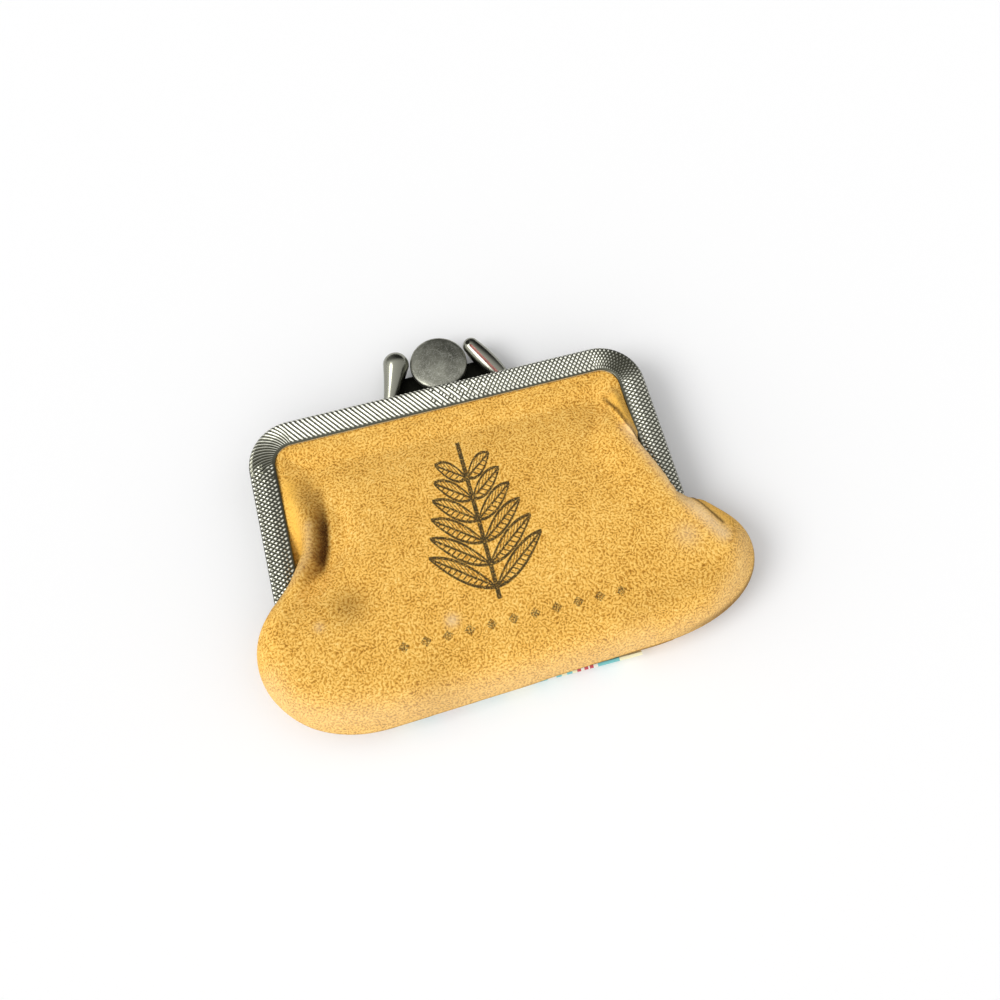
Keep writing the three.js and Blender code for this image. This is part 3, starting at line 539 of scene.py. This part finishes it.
def store(data, name, kind, values):
    """A value for every point of a mesh."""
    field = {"FLOAT": "value", "FLOAT_VECTOR": "vector"}[kind]
    attribute = data.attributes.new(name, kind, "POINT")
    attribute.data.foreach_set(field, np.asarray(values, np.float32).ravel())


def marks_on(place, lines, spots=()):
    """Amounts of one kind of wear, from lines and spots with their reach and strength."""
    marks = [strength * bell(from_line(place, line)[0], reach) for line, reach, strength in lines]
    return marks + [strength * bell(from_spot(place, at), reach) for at, reach, strength in spots]


def mark_wear(panel, is_front):
    """Place at rest and flat, outer side, rubbed suede, brown painted shade with some dirt, and lit orange.
    """
    data = panel.data
    place = points_of(data)
    x, drop, height = place[:, 0], -place[:, 1], place[:, 2]
    normals = np.zeros(len(data.vertices) * 3, np.float32)
    data.vertices.foreach_get("normal", normals)
    facing = normals.reshape(-1, 3)[:, 2]
    outside = np.clip(facing * OUTSIDE_GAIN, 0, 1) if is_front else np.zeros(len(place))
    # brown marks: painted shade, with some dirt
    soiled = marks_on(place, SHADE_AND_DIRT_LINES, SHADE_AND_DIRT_SPOTS)
    # painted shade along the left groove
    groove, share, side = from_line(place, LEFT_GROOVE)
    shade = SHADE_LEAST + SHADE_GAIN * rise(share, *SHADE_DEEP)
    shade = shade * rise(share, *SHADE_START) * fall(share, *SHADE_END)
    soiled.append(shade * bell(groove, np.where(side > 0, SHADE_RIGHT, SHADE_LEFT)))
    # painted shadow along the right crease
    crease, share, _ = from_line(place, RIGHT_CREASE)
    soiled.append(CREASE_SHADOW * bell(crease, CREASE_SHADOW_REACH) * rise(share, *CREASE_SHADOW_START))
    # painted shade towards the seam along the bottom, and where the right side faces down
    seam = fall(height, *SEAM_FRONT) if is_front else rise(height, *SEAM_BACK)
    seam = np.maximum(seam, rise(x, *SEAM_X) * fall(facing, *SEAM_FACING))
    seam = SEAM_SHADE * seam * rise(drop, *SEAM_DROP)
    below = PANEL_TOP - height if is_front else height
    flat_x = x + SPREAD * below * (np.sign(x) * rise(np.abs(x), *SIDE_ROLL))
    flat_y = place[:, 1] - SPREAD * below * rise(drop, *BOTTOM_ROLL)
    store(data, "rest", "FLOAT_VECTOR", place)
    store(data, "flat", "FLOAT_VECTOR", np.stack([flat_x, flat_y, 0 * drop], axis=1))
    store(data, "outside", "FLOAT", outside)
    rubbed = marks_on(place, RUBBED_LINES, RUBBED_SPOTS)
    store(data, "rubbed", "FLOAT", np.maximum.reduce(rubbed) * outside)
    store(data, "soiled", "FLOAT", np.maximum(np.maximum.reduce(soiled) * outside, seam))
    # unfaded orange, painted lighter still for light
    store(data, "glow", "FLOAT", np.maximum.reduce(marks_on(place, UNFADED_AND_LIT_LINES)) * outside)


mark_wear(front_panel, True)
mark_wear(back_panel, False)
print("stored on the front panel:", [a.name for a in front_panel.data.attributes if a.domain == "POINT"])

# %% [markdown]
# ## Metals
# The frame is bright steel strip, knurled by a roller before it was folded. The disc of the clasp is
# nickel plated and dull from many small scratches, and the two prongs are polished nickel, rolled
# from sheet. Real scratches are finer than the picture can show, so they are drawn about a tenth of a
# millimetre wide. The strap, the cut edges of the left prong and the eyes of both prongs are painted
# almost black for the shade there, and the cut edge of the right prong is painted pink for a
# reflection.

# %% Metal materials
SCRATCH_WIDTH, SCRATCH_LENGTH, SCRATCH_LEVEL, SCRATCH_GAIN = 0.11, 2.2, 0.6, 7.0
SCRATCH_TURNS, SCRATCH_SHARE, SCRATCH_DULL = (10, 45, 80, 115, 150), 0.9, 0.2
SCRATCH_STRENGTH, SCRATCH_DEPTH = 0.4, 0.00003
CLOUD, CLOUD_GAIN, CLOUD_LEVEL = 4.0, 3.0, -1.0
SATIN, KNURL_GLOSS, POLISH, SHADE_BLACK_ROUGHNESS = 0.34, 0.3, 0.2, 0.55
# tops of the knurl: worn bright, and painted lighter as a highlight
WORN_AND_LIT_LEVEL, WORN_AND_LIT_GAIN, WORN_AND_LIT_PALE = 0.3, 2.8, 0.6


def scratches(tree, turn):
    """Fine lines in one direction, from noise stretched along it."""
    place = add(tree, "TexCoord", out="Object")
    size = (SCRATCH_WIDTH * MM, SCRATCH_LENGTH * MM, SCRATCH_WIDTH * MM)
    turned_by = (0, 0, math.radians(turn))
    lying = add(tree, "Mapping", place, vector_type="TEXTURE", Rotation=turned_by, Scale=size)
    lines = add(tree, "TexNoise", lying, Scale=1.0, Detail=2.0, Roughness=0.6)
    lines = add(tree, "SUBTRACT", lines, SCRATCH_LEVEL)
    return add(tree, "MULTIPLY", lines, SCRATCH_GAIN, use_clamp=True)


def metal(name, code, roughness):
    """Plain plated metal."""
    return new_material(name, Metallic=1.0, Roughness=roughness, Base_Color=paint(code))


def satin_metal(name, dull, bright, mark):
    """Worn plate: dull and brighter clouds, and scratches in several directions that catch the light."""
    material, tree, shader = metal(name, bright, SATIN)
    place = add(tree, "TexCoord", out="Object")
    clouds = add(tree, "TexNoise", place, Scale=1 / (CLOUD * MM), Detail=2.0)
    clouds = add(tree, "MULTIPLY_ADD", clouds, CLOUD_GAIN, CLOUD_LEVEL, use_clamp=True)
    colour = add(tree, "Mix", clouds, paint(dull), paint(bright), data_type="RGBA")
    marks = 0.0
    for turn in SCRATCH_TURNS:
        marks = add(tree, "MAXIMUM", scratches(tree, turn), marks)
    share = add(tree, "MULTIPLY", marks, SCRATCH_SHARE)
    worn = add(tree, "Mix", share, colour, paint(mark), data_type="RGBA")
    tree.links.new(worn, shader.inputs["Base Color"])
    tree.links.new(add(tree, "MULTIPLY_ADD", marks, SCRATCH_DULL, SATIN), shader.inputs["Roughness"])
    bump = add(tree, "Bump", Height=marks, Strength=SCRATCH_STRENGTH, Distance=SCRATCH_DEPTH)
    tree.links.new(bump, shader.inputs["Normal"])
    return material


def knurled_metal(name, dark, bright):
    """Knurled strip: dark between the pyramids, with their tops worn bright and painted lighter as a
    highlight.
    """
    material, tree, shader = metal(name, dark, KNURL_GLOSS)
    # the knurl attribute holds each point's painted highlight
    raised = add(tree, "Attribute", out="Fac", attribute_name="knurl")
    tops = add(tree, "SUBTRACT", raised, WORN_AND_LIT_LEVEL)
    tops = add(tree, "MULTIPLY", tops, WORN_AND_LIT_GAIN, use_clamp=True)
    colour = add(tree, "Mix", tops, paint(dark), paint(bright), data_type="RGBA")
    tree.links.new(colour, shader.inputs["Base Color"])
    # highlighted tops are made less metallic, so that they stay light
    tree.links.new(add(tree, "MULTIPLY_ADD", tops, -WORN_AND_LIT_PALE, 1.0), shader.inputs["Metallic"])
    return material


knurled_steel = knurled_metal("knurled_steel", "#5A5A4E", "#F6F6E6")
satin_nickel = satin_metal("satin_nickel", "#6C6C62", "#A4A496", "#DCDCD0")
polished_nickel = metal("polished_nickel", "#8E8E82", POLISH)[0]
# near black: painted shade for the strap, the left prong's slit and the eyes
shade_black_nickel = metal("shade_black_nickel", "#24241F", SHADE_BLACK_ROUGHNESS)[0]
# pink of the right prong's cut edge: a painted reflection
painted_pink_reflection = new_material("painted_pink_reflection", Metallic=0.2, Roughness=0.5, Base_Color=paint("#D9A096"))[0]
print("metals:", [m.name for m in (knurled_steel, satin_nickel, polished_nickel, shade_black_nickel)])

# %% [markdown]
# ## Frame bars
# Each half of the frame is one strip of sheet, knurled and folded into a channel and then bent
# round into three sides. The same is done here: a flat grid is folded to the section of the channel
# across its width and bent round the bar along its length. The knurl is a field of small pyramids:
# every second point of the grid is raised, the others are sunk. On the left half of the top bar the
# pyramids run together into slanting ridges.

# %% Section of a channel and path of the bar
CORNER, ARM_END, EAR_START = 8.5, 34.3, 33.0
MITRE = ((33.0, -29.5), (37.9, -34.9))
KNURL_PITCH, KNURL_ROW, KNURL_HEIGHT = 0.44, 0.575, 0.08
KNURL_START, FACE_START = 0.5, 0.2
SHOULDER_RUN, SHOULDER_RISE, FLAT_END, FACE_END, FACE_FALL = 1.1, 1.3, 2.8, 4.75, 0.4
web_top, crown = half_depth - SHOULDER_RISE, half_depth
turns = np.linspace(0, math.pi / 2, 25)
shoulder = [(SHOULDER_RUN * (1 - math.cos(a)), web_top + SHOULDER_RISE * math.sin(a)) for a in turns]
face = np.array(shoulder + [(FLAT_END, crown), (FACE_END, crown - FACE_FALL)])
reach = np.concatenate([[0], np.cumsum(np.linalg.norm(np.diff(face, axis=0), axis=1))])


def on_face(distance):
    """Point on the outer face of the channel, as (inset, level), at that distance over the shoulder."""
    return np.array([np.interp(distance, reach, face[:, 0]), np.interp(distance, reach, face[:, 1])])


knurl_rows = np.arange(KNURL_START, reach[-1], KNURL_ROW)
# flange where the halves meet, and the web
section = [(4.2, 0.2), (4.15, 0.15), (2.0, 0.15), (0.3, 0.15), (0.08, 0.22), (0, 0.45), (0, 2.2),
           (0, web_top), tuple(on_face(FACE_START))]
first_row = len(section)
section += [tuple(on_face(d)) for d in knurl_rows]
last_row = len(section) - 1
# lip, and the inside of the face
section += [(4.8, crown - 0.42), (4.88, crown - 0.48), (4.95, crown - 0.6), (4.98, crown - 0.78),
            (4.9, crown - 0.92), (4.6, crown - 1.1), (4.2, crown - 1.05), (2.8, crown - 0.74),
            (1.6, crown - 0.72), (0.95, crown - 1.0)]
# inside of the web and of the flange
section += [(0.72, web_top - 0.1), (0.7, 1.05), (0.85, 0.88), (2.0, 0.85), (4.1, 0.85), (4.2, 0.8),
            (4.2, 0.2)]
lip_rows = (last_row + 3, last_row + 4)
outward = {}
for row in range(first_row, last_row + 1):
    run = np.subtract(section[row + 1], section[row - 1])
    outward[row] = np.array([-run[1], run[0]]) / np.linalg.norm(run)
straight_arm, straight_top = ARM_END - CORNER, 2 * (half_width - CORNER)
bend = CORNER * math.pi / 2
bar_length = 2 * straight_arm + straight_top + 2 * bend


def on_bar(distance):
    """Outer edge of the frame and its outward direction, from the left arm over the top to the right."""
    if distance > bar_length / 2:
        (x, y), (nx, ny) = on_bar(bar_length - distance)
        return (-x, y), (-nx, ny)
    if distance <= straight_arm:
        return (-half_width, -ARM_END + distance), (-1, 0)
    turn = (distance - straight_arm) / CORNER
    if turn < math.pi / 2:
        nx, ny = -math.cos(turn), math.sin(turn)
        return (CORNER - half_width + CORNER * nx, -CORNER + CORNER * ny), (nx, ny)
    return (CORNER - half_width + distance - straight_arm - bend, 0), (0, 1)


print("bar", round(bar_length, 1), "mm long,", len(section), "points across,", len(knurl_rows), "of knurl")

# %% Pattern of the knurl
LINES_START, LINES_END = (0.17, 0.21), (0.45, 0.56)
# painted highlight of the knurl: dots, lines, hollows and the lip, by the side of the frame
DOT_SHINE, DOT_RIGHT, DOT_TOP, DOT_CORNER = 0.87, 0.12, 0.5, 1.3
LINE_SHINE, LINE_TOP, LINE_TILT = 0.45, 0.45, 0.35
HOLLOW_SHINE, LIP_SHINE, LIP_FACING = 0.2, 0.55, 0.6


def is_lined(share, column, row):
    """True where the pyramids run together: over one stretch of the bar, thinning out at both its ends.
    Each point has its own eighth in a fixed scatter, so that the change is gradual."""
    scatter = (5 * column + 2 * row) % 8 / 8
    return bool(scatter < rise(share, *LINES_START) - rise(share, *LINES_END))


def shine(nx, ny, lined, top):
    """Painted highlight of a point of the knurl, set by the way its side of the frame faces."""
    right, upper = max(nx, 0), max(ny, 0)
    if not top:
        return HOLLOW_SHINE * right
    if lined:
        return LINE_SHINE + LINE_TOP * upper + LINE_TILT * nx * upper
    return DOT_SHINE - DOT_RIGHT * right + DOT_TOP * upper - DOT_CORNER * right * upper


print("ridges from", LINES_START[0], "to", LINES_END[1], "of the way round the bar")


# %% Fold and bend the two bars
def cut_off(mesh, geometry, point, direction):
    """Cuts away what lies beyond a plane and closes the cut."""
    cut = bmesh.ops.bisect_plane(mesh, geom=geometry, plane_co=point, plane_no=direction, clear_outer=True)
    edges = [e for e in cut["geom_cut"] if isinstance(e, bmesh.types.BMEdge)]
    bmesh.ops.holes_fill(mesh, edges=edges, sides=0)


def knurled_bar(name, node, half):
    """One half of the frame: half is 1 for the front and -1 for the back."""
    columns = 2 * round(bar_length / KNURL_PITCH / 2)
    rows = len(section) - 1
    mesh = bmesh.new()
    bmesh.ops.create_grid(mesh, x_segments=columns, y_segments=rows, size=1)
    mesh.verts.ensure_lookup_table()
    raised = mesh.verts.layers.float.new("knurl")
    index = {}
    # fold the grid across and bend it along
    for vert in mesh.verts:
        column = round((vert.co.x + 1) / 2 * columns)
        row = round((vert.co.y + 1) / 2 * rows)
        index[vert] = (column, row)
        inset, level = section[row]
        (x, y), (nx, ny) = on_bar(bar_length * column / columns)
        if first_row < row <= last_row:
            top = (column + row) % 2
            lift = KNURL_HEIGHT * (2 * top - 1 if half > 0 else 2 * top - 2)
            # painted highlight, by the way this side of the frame faces
            vert[raised] = shine(nx, ny, is_lined(column / columns, column, row), top)
            inset, level = np.add((inset, level), lift * outward[row])
        # painted highlight along the lip of the top bar
        if row in lip_rows and ny > LIP_FACING:
            vert[raised] = LIP_SHINE
        vert.co = spot(x - nx * inset, y - ny * inset, half_depth + half * level)
    # crease each cell of the knurl from one sunk point to the other, or along a ridge
    knurl = [f for f in mesh.faces if all(first_row <= index[v][1] <= last_row for v in f.verts)]
    flat = []
    for quad in knurl:
        column, row = min(index[v] for v in quad.verts)
        joined = (column + row) % 2 and is_lined(column / columns, column, row)
        pair = [v for v in quad.verts if sum(index[v]) % 2 == joined]
        part, _ = bmesh.utils.face_split(quad, pair[0], pair[1])
        flat += [part, quad]
    for part in mesh.faces:
        part.smooth = True
    for part in flat:
        part.smooth = False
    # close the section and both ends, cut the ends of the arms to the mitre, and add the hinge ears
    bmesh.ops.remove_doubles(mesh, verts=mesh.verts, dist=1e-6)
    bmesh.ops.holes_fill(mesh, edges=[e for e in mesh.edges if e.is_boundary], sides=0)
    (ax, ay), (bx, by) = MITRE
    for side in (-1, 1):
        near = [v for v in mesh.verts if v.co.y < spot(0, ay + 1, 0).y and (v.co.x - middle_x) * side > 0]
        edges = list(dict.fromkeys(e for v in near for e in v.link_edges))
        faces = list(dict.fromkeys(f for v in near for f in v.link_faces))
        cut_off(mesh, near + edges + faces, spot(side * ax, ay, 0), (side * (by - ay), ax - bx, 0))
    ends = cad_copy(node)
    cut_off(ends, ends.verts[:] + ends.edges[:] + ends.faces[:], spot(0, -EAR_START, 0), (0, 1, 0))
    spare = bpy.data.meshes.new("ends")
    ends.to_mesh(spare)
    ends.free()
    mesh.from_mesh(spare)
    bpy.data.meshes.remove(spare)
    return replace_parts(finished(name, mesh, knurled_steel, None), node)


front_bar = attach(knurled_bar("knurled_front_frame", "front_frame", 1), "front_half")
back_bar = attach(knurled_bar("knurled_back_frame", "back_frame", -1), "back_half")
print("faces of a knurled half:", len(front_bar.data.polygons))

# %% [markdown]
# ## Clasp
# The clasp is a round disc on the front half that is pressed in between two prongs on the back
# half. The disc is turned: its profile is spun round its middle. The prongs are sheet rolled to a
# drop, so each is a turned drop with a slit, and a small eye where the slit ends. A strap along the
# bar joins their feet, and shows beside the disc in a near-black colour that is painted shade.

# %% Turn the disc
SEAT_Y, BLOCK_EDGE = 0.3, 0.15
DISC_X, DISC_Y, DISC_Z = 1.2, 6.9, half_depth - 1.2
DOME, DOME_FALL, DOME_RADIUS = 2.2, 0.44, 5
DISC_PROFILE = [(0, 0), (5.2, 0), (5.48, 0.15), (5.6, 0.45), (5.6, 1.2), (5.54, 1.42), (5.36, 1.6),
                (5.1, 1.72)]
FOOT_HALF, FOOT_LOW = 2.2, DISC_Z + 0.7
FOOT_PLATES = [(0.8, half_depth + 3.1), (2.2, DISC_Z + 1.6)]


def turned(profile, steps):
    """Mesh spun from (radius, height) points in millimetres round Z."""
    mesh = bmesh.new()
    line = [mesh.verts.new((r * MM, 0, z * MM)) for r, z in profile]
    edges = [mesh.edges.new(pair) for pair in zip(line, line[1:])]
    bmesh.ops.spin(mesh, geom=line + edges, cent=(0, 0, 0), axis=(0, 0, 1), angle=2 * math.pi, steps=steps,
                   use_merge=True)
    bmesh.ops.remove_doubles(mesh, verts=mesh.verts, dist=1e-7)
    return mesh


def block(mesh, low, high):
    """Adds a box between two corners in millimetres from the frame."""
    a, b = spot(*low), spot(*high)
    matrix = Matrix.Translation((a + b) / 2) @ Matrix.Diagonal((*(b - a), 1))
    made = bmesh.ops.create_cube(mesh, size=1, matrix=matrix)
    edges = list(dict.fromkeys(e for v in made["verts"] for e in v.link_edges))
    bmesh.ops.bevel(mesh, geom=edges, offset=BLOCK_EDGE * MM, offset_type="OFFSET", segments=3, profile=0.5,
                    affect="EDGES", material=-1)


dome = [(r, DOME - DOME_FALL * (r / DOME_RADIUS) ** 2) for r in (4.5, 3.75, 3.0, 2.25, 1.5, 0.75, 0)]
disc_mesh = turned(DISC_PROFILE + dome, 96)
bmesh.ops.translate(disc_mesh, vec=spot(DISC_X, DISC_Y, DISC_Z), verts=disc_mesh.verts)
for end_y, end_z in FOOT_PLATES:
    block(disc_mesh, (DISC_X - FOOT_HALF, SEAT_Y, FOOT_LOW), (DISC_X + FOOT_HALF, end_y, end_z))
disc = finished("clasp_disc_turned", disc_mesh, satin_nickel)
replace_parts(disc, "clasp_disc")
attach(disc, "front_half")
print("disc with its foot:", len(disc.data.polygons), "faces")

# %% Roll the prongs
EYE, EYE_RISE, EYE_DEPTH, SLIT_DEPTH = 0.42, 0.7, 1.2, 1.4
FOOT_DROP, SHARP = 2.15, math.radians(35)
STRAP_LOW, STRAP_HIGH = (-9.4, SEAT_Y, 1.6), (11.6, 7.0, 2.4)


def prong(name, node, foot_x, axis, radii, belly_at, seam_turn, slit_width, edges):
    """Rolled drop from its foot along an axis, its slit turned from the front towards the disc."""
    axis = Vector(axis)
    length = axis.length
    head = radii[-1]
    shares = np.linspace(0, 1, 12)[:-1]
    rounded = np.polyfit([0, belly_at, 1], radii, 2)
    profile = [(0, 0)] + [(np.polyval(rounded, share), share * length) for share in shares]
    profile += [(head * math.cos(a), length + head * math.sin(a)) for a in np.linspace(0, math.pi / 2, 10)]
    profile[-1] = (0, length + head)
    piece = finished(name, turned(profile, 48), polished_nickel)
    # cut the slit and its eye
    tool_mesh = bmesh.new()
    size = Matrix.Diagonal((SLIT_DEPTH * MM, slit_width * MM, length * MM, 1))
    middle = Matrix.Translation((head * MM, 0, length / 2 * MM))
    bmesh.ops.create_cube(tool_mesh, size=1, matrix=middle @ size)
    slit_faces = len(tool_mesh.faces)
    eye_at = Matrix.Translation((head * MM, 0, (length + EYE_RISE) * MM))
    bmesh.ops.create_cone(tool_mesh, cap_ends=True, segments=24, radius1=EYE * MM, radius2=EYE * MM,
                          depth=EYE_DEPTH * MM, matrix=eye_at @ Matrix.Rotation(math.pi / 2, 4, "Y"))
    tool = finished(name + "_slit", tool_mesh, polished_nickel, False)
    # the slit's cut faces take the edges colour, and the eye's the near-black painted shade
    for material in (edges, shade_black_nickel):
        tool.data.materials.append(material)
        piece.data.materials.append(material)
    rest = len(tool.data.polygons) - slit_faces
    tool.data.polygons.foreach_set("material_index", [1] * slit_faces + [2] * rest)
    slit = piece.modifiers.new("slit", "BOOLEAN")
    slit.operation = "DIFFERENCE"
    slit.object = tool
    baked(piece)
    piece.data.set_sharp_from_angle(angle=SHARP)
    bpy.data.objects.remove(tool)
    # lay the drop along its axis, with the slit turned from the front towards the disc
    along = axis.normalized()
    front = (Vector((0, 0, 1)) - along * along.z).normalized()
    inward = along.cross(front) * (1 if along.cross(front).x * axis.x > 0 else -1)
    out = front * math.cos(seam_turn) + inward * math.sin(seam_turn)
    basis = Matrix((out, along.cross(out), along)).transposed().to_4x4()
    piece.data.transform(Matrix.Translation(spot(foot_x, SEAT_Y, half_depth - FOOT_DROP)) @ basis)
    piece.data.update()
    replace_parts(piece, node)
    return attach(piece, "back_half")


prong_left = prong("clasp_prong_left_rolled", "clasp_prong_left", foot_x=-10.2, axis=(3.25, 8.3, 2.3),
                   radii=(1.4, 1.6, 2.55), belly_at=0.3, seam_turn=math.radians(105), slit_width=0.35,
                   edges=shade_black_nickel)
# the right prong's cut edges are painted pink for a reflection
prong_right = prong("clasp_prong_right_rolled", "clasp_prong_right", foot_x=13.6, axis=(-5.2, 8.9, 1.8),
                    radii=(1.4, 2.0, 1.65), belly_at=0.5, seam_turn=math.radians(18), slit_width=0.5,
                    edges=painted_pink_reflection)
# a near-black strap: painted shade beside the disc
strap_mesh = bmesh.new()
block(strap_mesh, STRAP_LOW, STRAP_HIGH)
strap = finished("clasp_strap", strap_mesh, shade_black_nickel, False)
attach(strap, "back_half")
print("prongs:", len(prong_left.data.polygons), "and", len(prong_right.data.polygons), "faces, and a strap")

# %% [markdown]
# ## Rivets and packing cords
# The hinge rivets are small and the packing cords lie hidden in the channels, where they wedge the
# suede. Their solids are fine enough as they are, and only need their materials.

# %% Dress the rivets and the cords
paper = new_material("twisted_paper", Base_Color=paint("#C9B48C"), Roughness=0.9)[0]
for node, material in (
    ("hinge_rivet_left", polished_nickel),
    ("hinge_rivet_right", polished_nickel),
    ("front_packing_cord", paper),
    ("back_packing_cord", paper),
):
    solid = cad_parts[node]
    solid.data.materials.clear()
    solid.data.materials.append(material)
print("rivets and cords dressed")

# %% [markdown]
# ## Woven band
# A striped tape is sewn down the back of the pouch and comes up round its bottom, where a strip of
# it shows. Its weave has fine ribs across, and its stripes run along it.

# %% Stripe material
CREAM, WHITE, TEAL, RED = "#FAF4CC", "#F8F5E8", "#7CCBCC", "#CB525A"
STRIPES = [(0.0, CREAM), (4.2, TEAL), (8.2, WHITE), (9.0, RED), (9.7, WHITE), (10.0, RED), (10.7, WHITE),
           (11.3, RED), (12.0, CREAM), (12.9, TEAL), (13.9, CREAM), (14.9, TEAL), (15.9, WHITE),
           (17.5, TEAL), (20.0, CREAM)]
BAND_HALF, RIB, RIB_SHADE, RIB_LEAST = 22.9, 0.6, 0.14, 0.86
RIB_STRENGTH, RIB_DEPTH = 0.5, 0.0001
tape, tree, shader = new_material("woven_tape", Roughness=0.8, Sheen_Weight=0.1)
place = add(tree, "Attribute", out="Vector", attribute_name="rest")
from_side = add(tree, "SUBTRACT", BAND_HALF, add(tree, "ABSOLUTE", add(tree, "SeparateXYZ", place)))
stripes = add(tree, "ValToRGB", add(tree, "DIVIDE", from_side, BAND_HALF),
              stops=[(at / BAND_HALF, code) for at, code in STRIPES])
stripes.node.color_ramp.interpolation = "CONSTANT"
# at a scale of 1 the crests of this texture lie pi / 10 apart
ribs = add(tree, "TexWave", place, bands_direction="Y", Scale=math.pi / 10 / RIB, Distortion=0.4)
shaded = add(tree, "MULTIPLY_ADD", ribs.node.outputs[1], RIB_SHADE, RIB_LEAST)
woven = add(tree, "Mix", 1.0, stripes, shaded, data_type="RGBA", blend_type="MULTIPLY")
tree.links.new(woven, shader.inputs["Base Color"])
bump = add(tree, "Bump", Height=ribs.node.outputs[1], Strength=RIB_STRENGTH, Distance=RIB_DEPTH)
tree.links.new(bump, shader.inputs["Normal"])
print("stripes on half the band:", len(STRIPES))

# %% Weave the band
LONG_EDGE, BAND_CUTS = 10.0, 47
band_mesh = cad_copy("woven_band")
solid_low, solid_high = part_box("woven_band")
wider = 2 * BAND_HALF * MM / (solid_high.x - solid_low.x)
from_middle = Matrix.Translation((-middle_x, 0, 0))
bmesh.ops.scale(band_mesh, vec=(wider, 1, 1), space=from_middle, verts=band_mesh.verts)
wide = [e for e in band_mesh.edges if abs((e.verts[0].co - e.verts[1].co).x) > LONG_EDGE * MM]
bmesh.ops.subdivide_edges(band_mesh, edges=wide, cuts=BAND_CUTS, use_grid_fill=True)
band = finished("woven_band_tape", band_mesh, tape, False)
store(band.data, "rest", "FLOAT_VECTOR", points_of(band.data))
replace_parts(band, "woven_band")
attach(band, "back_half")
print("band faces:", len(band.data.polygons))

# %% [markdown]
# ## Tie the suede to the frame
# The back panel moves with the back half. The front panel is held by the back panel along the
# bottom and by the front half at the mouth, so between the two it bends when the purse is opened.

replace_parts(front_panel, "front_panel")
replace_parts(back_panel, "back_panel")
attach(back_panel, "back_half")
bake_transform(front_panel, "back_half", "front_half", start=spot(0, -43.6, 5.4), end=spot(0, -35.1, 13.9))
for piece, flat, held, carriers in (
    (front_panel, (0.098, 0.066), "gathered", ["front_frame", "back_panel"]),
    (back_panel, (0.094, 0.063), "stretched", ["back_frame"]),
    (band, (0.0458, 0.060), "laid", ["back_panel"]),
):
    print(piece.name, "cut to", flat, "m, area in square mm:", round(half_skin(piece) / MM**2))

# %% [markdown]
# ## Table and light
# The purse lies on a pale table in soft daylight from the left, so its shadow falls to the right and
# fades within a few centimetres. The sky is darker behind the clasp and to the right, which the metal
# shows.

# %% Stage
TABLE_HALF, TABLE_GAP = 2.0, 0.00005
SUN_DIRECTION = (0.68, 0.15, -0.72)
SKY_START, SKY_END, SKY_BEHIND, SKY_RIGHT, SKY_LEAST = 0.1, 0.75, 0.13, 0.35, 0.05
table_material = new_material("white_table", Base_Color=paint("#F9F9F9"), Roughness=0.9,
                              Specular_IOR_Level=0.1)[0]
table_mesh = bmesh.new()
bmesh.ops.create_grid(table_mesh, x_segments=1, y_segments=1, size=TABLE_HALF)
bmesh.ops.translate(table_mesh, vec=(0, 0, -TABLE_GAP), verts=table_mesh.verts)
table = finished("table", table_mesh, table_material, False)

sun_data = bpy.data.lights.new("window", "SUN")
sun_data.energy = 1.15
sun_data.angle = math.radians(30)
sun = bpy.data.objects.new("window", sun_data)
sun.rotation_euler = Vector(SUN_DIRECTION).to_track_quat("-Z", "Y").to_euler()
bpy.context.scene.collection.objects.link(sun)

world = bpy.data.worlds.new("sky")
bpy.context.scene.world = world
world.use_nodes = True
sky = world.node_tree
across = add(sky, "SeparateXYZ", add(sky, "TexCoord", out="Generated"))
behind = add(sky, "MapRange", across.node.outputs[1], SKY_START, SKY_END, 1.0, SKY_BEHIND,
             interpolation_type="SMOOTHSTEP")
level = add(sky, "MAXIMUM", add(sky, "MULTIPLY_ADD", across, -SKY_RIGHT, behind), SKY_LEAST)
sky.nodes["Background"].inputs["Color"].default_value = (1, 1, 1, 1)
sky.links.new(level, sky.nodes["Background"].inputs["Strength"])
print("light and table ready")
